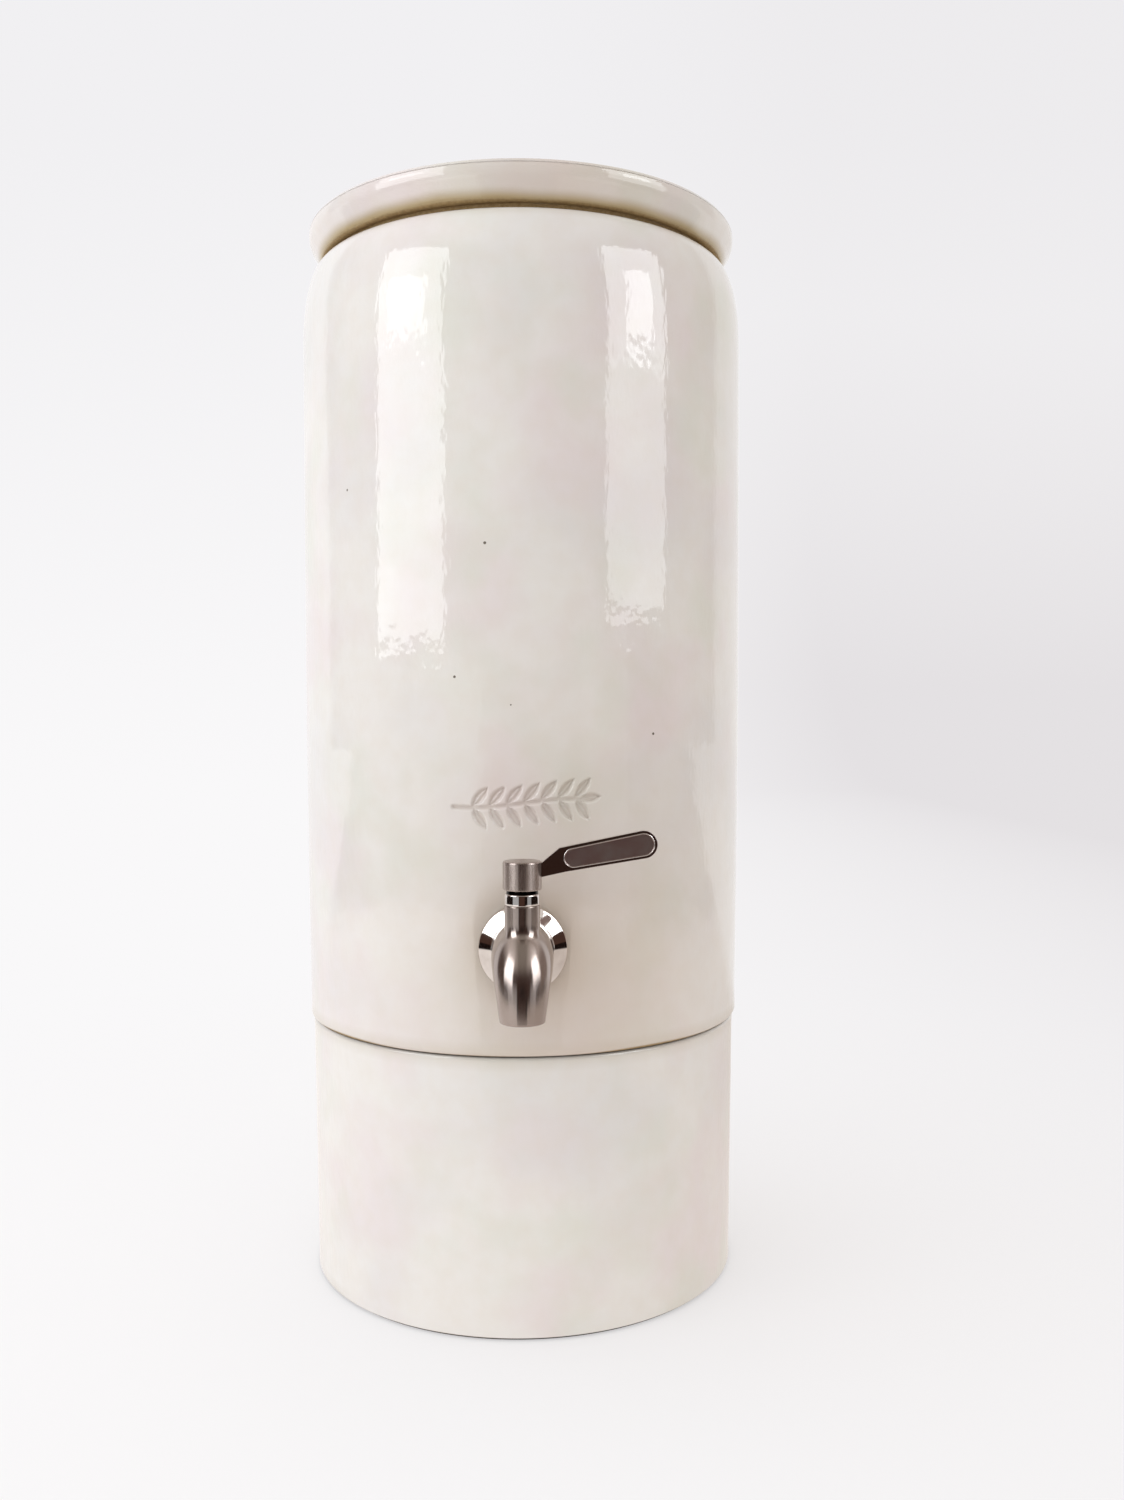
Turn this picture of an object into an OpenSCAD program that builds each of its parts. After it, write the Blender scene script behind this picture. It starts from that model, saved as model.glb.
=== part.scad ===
// Gravity water filter: a glazed crock on a ring stand, with a lid, a hanging insert that holds a
// ceramic filter candle, and a quarter-turn steel tap.
// Millimetres, +Z up. The origin is on the vessel's axis, on the table under the stand.
// The tap is on the -Y side, and its lever points to +X when it is shut.

/* [Stand] */
// Height of the stand, up to the crock's seat
stand_h = 104; // [80:1:140]
// How far the stand's top lies inside the crock's foot, on the radius
stand_inset = 1.2; // [0:0.1:4]
// How much the stand narrows from its top to its foot, on the radius
stand_taper = 1.3; // [0:0.1:5]
// Wall thickness of the stand
stand_wall = 8.5; // [7:0.5:12]
// Radius of the stand's rounded top edge
stand_edge = 3.5; // [1:0.5:4.5]
// Radius of the stand's rounded foot edge
stand_foot_edge = 1.5; // [0.5:0.25:3]

/* [Crock] */
// Widest diameter of the crock
crock_d = 180; // [150:1:230]
// Height of the crock from its seat to its rim
crock_h = 303; // [250:1:370]
// Wall thickness of the crock
crock_wall = 7.5; // [6:0.5:9]
// Thickness of the crock's floor
crock_floor = 10; // [6:0.5:16]
// How much narrower the crock is at its foot, on the radius
crock_taper = 1.3; // [0:0.1:4]
// Height above the seat at which the crock reaches its full width
belly_h = 96; // [70:1:140]
// Radius of the crock's rounded bottom edge
crock_edge = 3; // [1:0.5:4]
// Height of the rounded shoulder
shoulder_h = 30; // [15:1:40]
// How far the shoulder comes in, on the radius
shoulder_in = 8; // [4:0.5:10]
// Width of the flat rim
rim_w = 4.5; // [4:0.5:7]
// How far the foot ring reaches down into the stand
spigot_drop = 5; // [2:0.5:12]
// Width of the foot ring
spigot_w = 7; // [4:0.5:12]
// Gap between the foot ring and the stand's bore
spigot_gap = 1.7; // [0.8:0.1:3]
// Radius where the inside wall meets the floor
inner_round = 9; // [3:0.5:14]

/* [Mouth] */
// Depth of the ledge below the rim
ledge_drop = 9.2; // [8:0.2:14]
// Width of the ledge
ledge_w = 6; // [4:0.5:9]
// Thickness of the ledge at its lip
ledge_t = 6; // [4:0.5:10]
// Thickness of the silicone ring on the ledge
seat_ring_t = 1.2; // [0.6:0.2:2]

/* [Lid] */
// How far the lid's edge lies inside the crock's widest radius
lid_inset = 2.7; // [0:0.1:6]
// Rounding at the top of the lid's side
edge_r = 2.2; // [1:0.1:4]
// How far the lid's side leans outwards, in degrees from upright
edge_lean = 27; // [0:1:35]
// Height of the lid's side
edge_h = 12.7; // [10:0.1:20]
// Gap between the rim and the lower edge of the lid's side
edge_gap = 2.3; // [1:0.1:5]
// Rise of the lid's top from the edge to the middle
dome_rise = 4.5; // [0:0.1:12]
// Height of the lid's underside above the rim
lid_hollow = 6; // [3:0.5:8]
// Width of the lid's collar
collar_w = 5; // [3:0.5:8]
// How far the collar reaches below the rim
collar_drop = 8; // [4:0.5:20]
// Gap between the collar and the insert's mouth
collar_gap = 2; // [0.5:0.1:4]

/* [Insert] */
// Depth of the insert from the top of its flange to its underside
insert_depth = 155; // [130:1:180]
// Wall thickness of the insert
insert_wall = 5.5; // [4:0.5:8]
// Thickness of the insert's floor
insert_floor = 6; // [4:0.5:10]
// Thickness of the insert's flange
insert_flange_t = 5.5; // [4:0.5:6.5]
// Gap between the insert and the crock's mouth
insert_gap = 1.2; // [0.6:0.1:3]
// Radius of the insert's bottom corner
insert_round = 9; // [3:0.5:16]

/* [Filter candle] */
// Outer diameter of the ceramic shell
candle_d = 58; // [40:1:70]
// Height of the shell's straight part
candle_h = 78; // [40:1:86]
// Wall thickness of the shell
candle_wall = 8; // [5:0.5:11]
// Thickness of the base plate
base_t = 4; // [3:0.5:8]
// Width of the base's rim around the shell
base_rim_w = 2; // [1.5:0.25:4]
// Height of the base's rim above its plate
base_rim_h = 6.5; // [3:0.5:12]
// Diameter of the outlet stem
stem_d = 12; // [9:0.5:16]
// Length of the stem below the base
stem_len = 24; // [22:1:40]
// Diameter of the stem's bore
stem_bore_d = 6.4; // [3:0.2:7]
// Thickness of the gasket on the insert's floor
gasket_t = 2; // [1:0.25:4]
// Thickness of the washer under the insert
under_washer_t = 1.5; // [1:0.25:3]
// Height of the wing nut's hub
wing_hub_h = 8; // [6:0.5:9]
// Span of the wing nut
wing_span = 38; // [30:1:60]
// Thickness of the core's screen
screen_t = 1.5; // [1:0.25:3]

/* [Tap mounting] */
// Height of the tap's shank above the crock's seat
tap_h = 39.5; // [34:0.5:80]
// Diameter of the threaded shank
shank_d = 16; // [12:0.5:20]
// Clearance of the shank in the crock's hole, on the radius
hole_gap = 0.4; // [0.2:0.1:1]
// Length of the shank behind the flange
shank_len = 31; // [27:1:40]
// Diameter of the flange
flange_d = 32; // [28:0.5:40]
// Diameter of the flange's raised collar
flange_collar_d = 22.4; // [20:0.2:24]
// Thickness of the flange at its rim
flange_rim_t = 1.4; // [0.8:0.1:2.5]
// Height of the flange's cone
flange_cone_h = 4.4; // [3:0.2:6]
// Height of the flange's collar
flange_h = 6; // [5:0.2:8]
// Diameter of the two silicone washers
washer_d = 29.6; // [26:0.2:32]
// Thickness of the silicone washers
washer_t = 2; // [1:0.25:3]
// Thickness of the steel washer
steel_washer_t = 1.5; // [0.8:0.1:3]
// Size of the lock nut across its flats
nut_af = 24; // [20:0.5:30]
// Thickness of the lock nut
nut_t = 6; // [4:0.5:8]

/* [Tap body] */
// Distance of the valve's axis in front of the flange's seat
stem_out = 27.7; // [24:0.1:36]
// Distance of the spout's axis in front of the valve's axis
spout_out = 10; // [8:0.5:14]
// Depth of the spout's mouth below the shank's axis
spout_drop = 17.2; // [16:0.2:30]
// Diameter of the barrel at the flange
barrel_d = 19.6; // [18:0.2:22]
// Widest diameter of the bulb
bulb_d = 20.9; // [19:0.1:24]
// Diameter of the spout's mouth
spout_d = 15; // [14:0.1:18]
// Diameter of the spout's bore
spout_bore_d = 11.2; // [8:0.1:11.6]
// Length of the spout's straight bore
spout_bore_len = 8.5; // [6:0.1:9]
// Diameter of the neck
neck_d = 12; // [11.5:0.1:14]
// Height of the neck's top above the shank's axis
neck_h = 19.8; // [18.5:0.1:26]

/* [Valve] */
// Diameter of the turning plug
plug_d = 9; // [8:0.1:9.2]
// Running clearance of the plug, on the radius
plug_gap = 0.05; // [0.02:0.01:0.1]
// Diameter of the cross hole
port_d = 5.6; // [4:0.1:6]
// Diameter of the inlet through the shank
inlet_d = 8; // [6:0.1:8]
// Diameter of the stem above the plug
spindle_d = 6; // [5:0.1:6.5]
// Thickness of an O-ring
o_ring_t = 1.6; // [1.2:0.1:1.8]
// Height of the bonnet ring
bonnet_h = 3.3; // [2.5:0.1:5]
// Thickness of the slip washer
slip_t = 0.8; // [0.5:0.1:1.2]

/* [Handle] */
// Diameter of the cap
cap_d = 13.1; // [12:0.1:16]
// Height of the cap
cap_h = 9.6; // [8:0.1:14]
// Gap between the bonnet ring and the cap
cap_gap = 1.8; // [0.5:0.1:3]
// Length of the lever from the valve's axis to its tip
lever_len = 45.8; // [30:0.5:70]
// Thickness of the lever
lever_t = 3; // [2:0.1:4]
// Angle at which the paddle rises
lever_rise = 10.4; // [0:0.2:20]
// Where the paddle starts, from the valve's axis
paddle_start = 13.2; // [10:0.2:18]
// Height of the paddle where it starts
paddle_root_h = 8.3; // [6:0.1:10]
// Height of the paddle at its tip
paddle_tip_h = 9.4; // [7:0.1:12]
// Height of the lever's neck at the cap
lever_neck_h = 4.6; // [3.2:0.1:6]
// Depth of the panel sunk into each face of the paddle
panel_depth = 0.5; // [0.2:0.1:0.8]
// Width of the border around the panel
panel_border = 0.9; // [0.5:0.1:2]
// Diameter of the peg that locks lever, cap and stem together
peg_d = 3; // [2:0.1:3.4]

/* [Hidden] */
$fn = 96;

// Small sizes and clearances that several pieces share
bevel = 1;             // chamfer on inside edges of the pottery
fit = 0.05;            // clearance between pieces that are screwed or pushed together
slack = 0.1;           // end clearance under the turning plug
past = 1;              // how far a cutter runs past the face that it cuts
pad_proud = 0.4;       // how far the inner pad stands out of the wall at its sides
bury = 3;              // how far a boss or a cylinder runs into what it joins
screen_sump = 2;       // depth of the collecting hollow under the core's screen
sump_r = 10;           // radius of that hollow
core_gap = 0.5;        // gap between the carbon core and the shell
wing_t = 4;            // thickness of the wings
wing_h = 10;           // height of the wings
hub_r = 9.5;           // radius of the wing nut's hub
seat_margin = 0.7;     // how far the lid's seat stays inside the rim's edges
flange_margin = 1.1;   // gap between the insert's flange and the crock's mouth
seat_wall = 1.5;       // wall of the valve's inlet seat
seat_len = 2;          // how far the inlet seat's pocket reaches behind the plug's bore
plug_floor = 6.6;      // depth of the plug's bore below the shank's axis
ring_room = 1.6;       // from the plug's end to the middle of its lower O-ring
upper_ring = 8;        // from the shank's axis to the middle of the upper O-ring
ring_play = 0.2;       // extra height of an O-ring's groove
stem_top_gap = 1.4;    // from the stem's top to the cap's top
peg_depth = 2;         // how far the peg reaches into the stem
peg_down = 3.2;        // from the cap's top down to the peg
cap_chamfer = 0.5;     // chamfer of the cap's edges
neck_bury = 17;        // how far the neck runs down into the bulb
bonnet_spigot = 1.7;   // depth of the bonnet ring's threaded spigot
port_fall = 9.5;       // drop of the passage from the plug to the spout

// Vessel radii, from the crock's widest diameter
crock_r = crock_d / 2;
crock_foot_r = crock_r - crock_taper;
crock_in_r = crock_r - crock_wall;
stand_top_r = crock_foot_r - stand_inset;
stand_foot_r = stand_top_r - stand_taper;
stand_bore_r = stand_top_r - stand_wall;
spigot_r = stand_bore_r - spigot_gap;
rim_r = crock_r - shoulder_in;
mouth_r = rim_r - rim_w;
throat_r = mouth_r - ledge_w;
insert_r = throat_r - insert_gap;
insert_in_r = insert_r - insert_wall;
insert_flange_r = mouth_r - flange_margin;
lid_r = crock_r - lid_inset;
dome_r = lid_r - edge_r;
collar_r = insert_in_r - collar_gap;

// Vessel levels
seat_z = stand_h;
floor_z = seat_z + crock_floor;
rim_z = seat_z + crock_h;
ledge_z = rim_z - ledge_drop;
insert_flange_z = ledge_z + seat_ring_t;
insert_top_z = insert_flange_z + insert_flange_t;
insert_bottom_z = insert_top_z - insert_depth;
insert_floor_z = insert_bottom_z + insert_floor;
lid_under_z = rim_z + lid_hollow;
edge_low_z = rim_z + edge_gap;
edge_top_z = edge_low_z + edge_h;

// Filter candle levels and radii
candle_r = candle_d / 2;
candle_in_r = candle_r - candle_wall;
core_r = candle_in_r - core_gap;
stem_r = stem_d / 2;
base_z = insert_floor_z + gasket_t;
plate_z = base_z + base_t;
core_z = plate_z + screen_t;
base_r = candle_r + fit + base_rim_w;
under_z = insert_bottom_z - under_washer_t;

// Tap: distances are measured outwards from the vessel's axis, along -Y
tap_z = seat_z + tap_h;
tap_wall_r = crock_foot_r + crock_taper * tap_h / belly_h;
spot_r = flange_d / 2 + 1.5;
pad_r = washer_d / 2 + 0.5;
spot_y = sqrt(pow(tap_wall_r, 2) - pow(spot_r, 2)) - fit;
pad_y = sqrt(pow(crock_in_r, 2) - pow(pad_r, 2)) - pad_proud;
shank_r = shank_d / 2;
hole_r = shank_r + hole_gap;
flange_y = spot_y + washer_t;
barrel_y = flange_y + flange_h;
shank_end_y = flange_y - shank_len;
stem_y = flange_y + stem_out;
spout_y = stem_y + spout_out;
spout_z = tap_z - spout_drop;
neck_z = tap_z + neck_h;

// Valve and handle levels
plug_r = plug_d / 2;
plug_bore_r = plug_r + plug_gap;
port_r = port_d / 2;
spindle_r = spindle_d / 2;
plug_bore_z = tap_z - plug_floor;
plug_z = plug_bore_z + slack;
spigot_z = neck_z - bonnet_spigot;
plug_top_z = spigot_z - slip_t;
bonnet_top_z = neck_z + bonnet_h;
cap_z = bonnet_top_z + cap_gap;
cap_top_z = cap_z + cap_h;
stem_top_z = cap_top_z - stem_top_gap;
lever_z = cap_top_z - peg_down;
cap_r = cap_d / 2;
o_ring_r = o_ring_t / 2;
o_ring_mid_r = plug_r - o_ring_r;
o_ring_levels = [plug_z + ring_room, tap_z + upper_ring];

// Points along an arc, and along a quarter of an oval
function arc(centre, r, from, to, steps = 6) =
    [for (i = [0:steps]) let (a = from + (to - from) * i / steps) centre + r * [cos(a), sin(a)]];
function oval(centre, rx, ry, from, to, steps = 10) =
    [for (i = [0:steps]) let (a = from + (to - from) * i / steps)
        centre + [rx * cos(a), ry * sin(a)]];

module turned(profile) rotate_extrude() polygon(profile);

// Local +Z points outwards along the tap's axis, from y measured outwards
module outward(y) translate([0, -y, tap_z]) rotate([90, 0, 0]) children();

// Places a piece on the valve's upright axis
module on_stem(z) translate([0, -stem_y, z]) children();

module washer(r_out, r_in, t) difference() {
    cylinder(r = r_out, h = t);
    translate([0, 0, -past]) cylinder(r = r_in, h = t + 2 * past);
}

// Ring stand: a tapered tube with a rounded top edge
module stand() color("#ddd6d0") turned(concat(
    arc([stand_foot_r - stand_foot_edge, stand_foot_edge], stand_foot_edge, -90, 0),
    arc([stand_top_r - stand_edge, stand_h - stand_edge], stand_edge, 0, 90),
    [[stand_bore_r + bevel, stand_h], [stand_bore_r, stand_h - bevel],
     [stand_bore_r, bevel], [stand_bore_r + bevel, 0]]));

// Crock: foot ring, barrel, oval shoulder, flat rim and the ledge that carries the insert
module crock_shell() turned(concat(
    [[0, seat_z], [spigot_r - spigot_w, seat_z], [spigot_r - spigot_w, seat_z - spigot_drop],
     [spigot_r, seat_z - spigot_drop], [spigot_r, seat_z]],
    arc([crock_foot_r - crock_edge, seat_z + crock_edge], crock_edge, -90, 0),
    [[crock_r, seat_z + belly_h]],
    oval([rim_r, rim_z - shoulder_h], shoulder_in, shoulder_h, 0, 90),
    [[mouth_r, rim_z], [mouth_r, ledge_z], [throat_r, ledge_z], [throat_r, ledge_z - ledge_t],
     [crock_in_r, ledge_z - ledge_t - crock_in_r + throat_r]],
    arc([crock_in_r - inner_round, floor_z + inner_round], inner_round, 0, -90),
    [[0, floor_z]]));

// The tap's hole has a flat spot face outside and a flat pad inside, so that both washers seal
module crock() color("#d8d0ca") difference() {
    union() {
        crock_shell();
        outward(pad_y) cylinder(r = pad_r, h = bury);
    }
    outward(spot_y) cylinder(r = spot_r, h = crock_r);
    outward(pad_y - past) cylinder(r = hole_r, h = crock_wall + 2 * past);
}

module tap_flange() color("#c9c5c2") outward(flange_y) turned(
    [[shank_r + fit, 0], [flange_d / 2 - flange_rim_t, 0], [flange_d / 2, flange_rim_t / 2],
     [flange_d / 2, flange_rim_t], [flange_collar_d / 2, flange_cone_h],
     [flange_collar_d / 2, flange_h], [shank_r + fit, flange_h]]);

module flange_washer() color("#e4e2de") outward(spot_y)
    washer(washer_d / 2, shank_r + fit, washer_t);

module inner_washer() color("#e4e2de") outward(pad_y - washer_t)
    washer(washer_d / 2, shank_r + fit, washer_t);

module backing_washer() color("#b4b1ae") outward(pad_y - washer_t - steel_washer_t)
    washer(washer_d / 2 - 1, shank_r + fit, steel_washer_t);

module lock_nut() color("#a8a4a0") outward(pad_y - washer_t - steel_washer_t - nut_t)
    difference() {
        cylinder(r = nut_af / 2 / cos(30), h = nut_t, $fn = 6);
        translate([0, 0, -past]) cylinder(r = shank_r + fit, h = nut_t + 2 * past);
    }

// The spout's centre line is one cubic curve in the Y-Z plane, which rises from the flange to the
// bulb and ends upright at the mouth. Its radius swells to the bulb and then narrows to the mouth.
spout_sides = 28;
spout_steps = 14;
bulb_at = 0.42;        // where along the curve the bulb is widest
bulb_reach = 19;       // length of the curve's first handle
bulb_lift = 6.5;       // height of that handle's end above the shank's axis
barrel_start = 4;      // how far behind the flange's front the curve starts, before it is trimmed
mouth_reach = 20;      // length of the curve's last handle
spout_curve = [[barrel_start - barrel_y, tap_z], [-barrel_y - bulb_reach, tap_z + bulb_lift],
    [-spout_y, spout_z + mouth_reach], [-spout_y, spout_z]];
function on_curve(p, t) = pow(1 - t, 3) * p[0] + 3 * pow(1 - t, 2) * t * p[1]
    + 3 * (1 - t) * t * t * p[2] + pow(t, 3) * p[3];
function along_curve(p, t) = let (d = pow(1 - t, 2) * (p[1] - p[0])
    + 2 * (1 - t) * t * (p[2] - p[1]) + t * t * (p[3] - p[2])) d / norm(d);
function swell(t) = t < bulb_at
    ? (barrel_d + (bulb_d - barrel_d) * sin(90 * t / bulb_at)) / 2
    : (bulb_d + (spout_d - bulb_d) * (1 - cos(90 * (t - bulb_at) / (1 - bulb_at)))) / 2;
function spout_ring(t) = let (c = on_curve(spout_curve, t), d = along_curve(spout_curve, t))
    [for (i = [0:spout_sides - 1]) let (a = 360 * i / spout_sides)
        [swell(t) * cos(a), c[0] - swell(t) * sin(a) * d[1], c[1] + swell(t) * sin(a) * d[0]]];

module spout_skin() {
    n = spout_sides;
    points = [for (s = [0:spout_steps]) each spout_ring(s / spout_steps)];
    walls = [for (s = [0:spout_steps - 1]) for (i = [0:n - 1])
        let (a = s * n + i, b = s * n + (i + 1) % n) each [[a, b, a + n], [b, b + n, a + n]]];
    first_cap = [for (i = [n - 1:-1:0]) i];
    last_cap = [for (i = [0:n - 1]) spout_steps * n + i];
    polyhedron(points, concat(walls, [first_cap, last_cap]));
}

// The passage from the plug's bore falls to the spout's bore
module outlet_passage() {
    run = spout_out - port_r / 2;
    translate([0, -stem_y - port_r / 2, tap_z])
        rotate([90 + atan2(port_fall, run), 0, 0]) cylinder(r = port_r, h = norm([run, port_fall]));
}

module tap_body() color("#a39c98") difference() {
    union() {
        difference() {
            spout_skin();
            outward(0) cylinder(r = bulb_d, h = barrel_y);
        }
        on_stem(neck_z - neck_bury) cylinder(r = neck_d / 2, h = neck_bury);
        outward(shank_end_y) cylinder(r = shank_r, h = shank_len + flange_h + bury);
    }
    on_stem(plug_bore_z) cylinder(r = plug_bore_r, h = neck_z - plug_bore_z + past);
    outward(shank_end_y - past)
        cylinder(r = inlet_d / 2, h = stem_y - plug_bore_r - seat_len - shank_end_y + past);
    outward(stem_y - plug_bore_r - seat_len)
        cylinder(r = port_r + seat_wall + fit, h = plug_bore_r + seat_len);
    outlet_passage();
    translate([0, -spout_y, spout_z - past])
        cylinder(r = spout_bore_d / 2, h = spout_bore_len + past);
}

// The seat's front is hollowed to the plug's radius
module inlet_seat() color("#e9e6e0") difference() {
    outward(stem_y - plug_bore_r - seat_len)
        cylinder(r = port_r + seat_wall, h = plug_bore_r + seat_len);
    outward(stem_y - plug_bore_r - seat_len - past)
        cylinder(r = port_r, h = plug_bore_r + seat_len + 2 * past);
    on_stem(tap_z - plug_floor) cylinder(r = plug_bore_r + fit, h = 2 * plug_floor);
}

// The plug's cross hole lies along X when the tap is shut, and meets the inlet when it is open
module valve_plug() color("#c4c0bc") difference() {
    union() {
        on_stem(plug_z) cylinder(r = plug_r, h = plug_top_z - plug_z);
        on_stem(plug_z) cylinder(r = spindle_r, h = stem_top_z - plug_z);
    }
    translate([-plug_d, -stem_y, tap_z]) rotate([0, 90, 0]) cylinder(r = port_r, h = 2 * plug_d);
    for (z = o_ring_levels)
        on_stem(z - o_ring_r - ring_play / 2)
            washer(plug_d, plug_r - o_ring_t, o_ring_t + ring_play);
    translate([spindle_r - peg_depth, -stem_y, lever_z]) rotate([0, 90, 0])
        cylinder(r = peg_d / 2 + fit, h = cap_r);
}

module plug_o_rings() color("#2b2a29")
    for (z = o_ring_levels)
        on_stem(z) rotate_extrude() translate([o_ring_mid_r, 0]) circle(r = o_ring_r, $fn = 32);

module slip_washer() color("#f2f1ee") on_stem(plug_top_z)
    washer(plug_r - fit, spindle_r + fit, slip_t);

module bonnet_ring() color("#d0cdca") difference() {
    union() {
        on_stem(neck_z) cylinder(r = neck_d / 2, h = bonnet_h);
        on_stem(spigot_z) cylinder(r = plug_r, h = bonnet_spigot + fit);
    }
    on_stem(spigot_z - past)
        cylinder(r = spindle_r + fit, h = bonnet_spigot + bonnet_h + 2 * past);
}

module handle_cap() color("#9a928e") difference() {
    on_stem(cap_z) turned([[0, 0], [cap_r - cap_chamfer, 0], [cap_r, cap_chamfer],
        [cap_r, cap_h - cap_chamfer], [cap_r - cap_chamfer, cap_h], [0, cap_h]]);
    on_stem(cap_z - past) cylinder(r = spindle_r + fit, h = stem_top_z - cap_z + past + fit);
    translate([0, -stem_y, lever_z]) rotate([0, 90, 0]) cylinder(r = peg_d / 2 + fit, h = cap_d);
}

// Paddle outline: square at its start, round at its tip, along a line that rises from the cap.
// margin shrinks it all round for the sunk panel, whose both ends are round.
paddle_lift = 1.1;     // how far the paddle's middle line passes above the peg's axis
paddle_len = lever_len - paddle_start;
tip_r = paddle_tip_h / 2;
root_r = paddle_root_h / 2;
function on_paddle(p) = let (u = p[0] + paddle_start / cos(lever_rise), v = p[1] + paddle_lift)
    [u * cos(lever_rise) - v * sin(lever_rise), u * sin(lever_rise) + v * cos(lever_rise)];
tip_u = paddle_len - tip_r;
panel_r = root_r - panel_border;
paddle_outline = concat([[0, -root_r]], arc([tip_u, 0], tip_r, -90, 90, 12), [[0, root_r]]);
panel_outline = concat(arc([panel_border + panel_r, 0], panel_r, 90, 270, 10),
    arc([tip_u, 0], tip_r - panel_border, -90, 90, 10));
neck_outline = [[cap_r - 1, -lever_neck_h / 2], on_paddle([1, -root_r]),
    on_paddle([0, root_r]), [cap_r - 1, lever_neck_h / 2]];

// Draws an outline in the lever's upright plane, t thick and centred on y
module upright(t, y = 0) translate([0, t / 2 - stem_y + y, lever_z]) rotate([90, 0, 0])
    linear_extrude(t) children();

module lever() color("#6f6663") {
    difference() {
        upright(lever_t) {
            polygon([for (p = paddle_outline) on_paddle(p)]);
            polygon(neck_outline);
        }
        for (side = [-1, 1])
            upright(lever_t, side * (lever_t - panel_depth))
                polygon([for (p = panel_outline) on_paddle(p)]);
        on_stem(cap_z) cylinder(r = cap_r, h = cap_h);
    }
    translate([spindle_r - peg_depth + fit, -stem_y, lever_z]) rotate([0, 90, 0])
        cylinder(r = peg_d / 2, h = cap_r - spindle_r + peg_depth + 1);
}

module seat_ring() color("#dfe3e2") translate([0, 0, ledge_z])
    washer(insert_flange_r - 0.5, throat_r + 0.5, seat_ring_t);

// Insert: a straight tub that hangs by its flange, with a hole for the candle's stem
module upper_reservoir() color("#e2dbd4") turned(concat(
    [[stem_r + hole_gap, insert_bottom_z]],
    arc([insert_r - insert_round, insert_bottom_z + insert_round], insert_round, -90, 0),
    [[insert_r, insert_flange_z], [insert_flange_r - bevel, insert_flange_z],
     [insert_flange_r, insert_flange_z + bevel], [insert_flange_r, insert_top_z - bevel],
     [insert_flange_r - bevel, insert_top_z], [insert_in_r + bevel, insert_top_z],
     [insert_in_r, insert_top_z - bevel]],
    arc([insert_in_r - inner_round / 2, insert_floor_z + inner_round / 2], inner_round / 2, 0, -90),
    [[stem_r + hole_gap, insert_floor_z]]));

// Moulded base: a plate with a rim around the shell, a collecting hollow and the outlet stem
module candle_base() color("#ece9e2") turned(
    [[stem_bore_d / 2, base_z - stem_len], [stem_r, base_z - stem_len], [stem_r, base_z],
     [base_r, base_z], [base_r, plate_z + base_rim_h], [candle_r + fit, plate_z + base_rim_h],
     [candle_r + fit, plate_z], [sump_r, plate_z], [sump_r, plate_z - screen_sump],
     [stem_bore_d / 2, plate_z - screen_sump]]);

module candle_shell() color("#efe9dd") turned(concat(
    [[candle_in_r, plate_z], [candle_r, plate_z]],
    arc([0, plate_z + candle_h], candle_r, 0, 90, 16),
    arc([0, plate_z + candle_h], candle_in_r, 90, 0, 16)));

module carbon_core() color("#2e2c2b") translate([0, 0, core_z])
    cylinder(r = core_r, h = plate_z + candle_h - core_z);

module core_screen() color("#d9d6cf") translate([0, 0, plate_z])
    cylinder(r = core_r, h = screen_t);

module candle_gasket() color("#cfd3d2") translate([0, 0, insert_floor_z])
    washer(candle_r - bury, stem_r + fit, gasket_t);

module under_washer() color("#cfd3d2") translate([0, 0, under_z])
    washer(hub_r + 2, stem_r + fit, under_washer_t);

module wing_nut() color("#e6e2da") translate([0, 0, under_z - wing_hub_h]) difference() {
    union() {
        cylinder(r = hub_r, h = wing_hub_h);
        translate([-wing_span / 2, -wing_t / 2, wing_hub_h - wing_h])
            cube([wing_span, wing_t, wing_h - bevel]);
    }
    translate([0, 0, wing_hub_h - wing_h - past])
        cylinder(r = stem_r + fit, h = wing_h + 2 * past);
}

// Lid: a flat seat on the crock's rim, a side that leans out to a rounded edge, a gentle dome and a
// collar that centres it
dome_steps = 8;
edge_start = [dome_r, edge_top_z - edge_r] + edge_r * [cos(edge_lean), -sin(edge_lean)];
module lid() color("#d5cdc5") turned(concat(
    [[0, lid_under_z], [collar_r - collar_w, lid_under_z], [collar_r - collar_w, rim_z - collar_drop],
     [collar_r, rim_z - collar_drop], [collar_r, lid_under_z], [mouth_r + seat_margin, lid_under_z],
     [mouth_r + seat_margin, rim_z], [rim_r - 2 * seat_margin, rim_z]],
    [[edge_start[0] - (edge_start[1] - edge_low_z) * tan(edge_lean), edge_low_z]],
    arc([dome_r, edge_top_z - edge_r], edge_r, -edge_lean, 90, 8),
    [for (i = [1:dome_steps]) let (f = 1 - i / dome_steps)
        [dome_r * f, edge_top_z + dome_rise * (1 - f * f)]]));

stand();
crock();
tap_flange();
flange_washer();
inner_washer();
backing_washer();
lock_nut();
tap_body();
inlet_seat();
valve_plug();
plug_o_rings();
slip_washer();
bonnet_ring();
handle_cap();
lever();
seat_ring();
upper_reservoir();
candle_base();
candle_shell();
carbon_core();
core_screen();
candle_gasket();
under_washer();
wing_nut();
lid();
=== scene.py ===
"""Glazed stoneware water filter on a ring stand, with a steel side-lever tap.

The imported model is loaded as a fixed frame. Each operator builds the finished surface of one piece,
or gives a group of pieces its material, and the last one sets the stage. Shapes are worked out in
millimetres, and mesh_object turns them into the frame's metres. Nodes work in metres.
"""

import math
from types import SimpleNamespace

import bpy
import numpy as np
from mathutils import Matrix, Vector
from mathutils.geometry import tessellate_polygon


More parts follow.
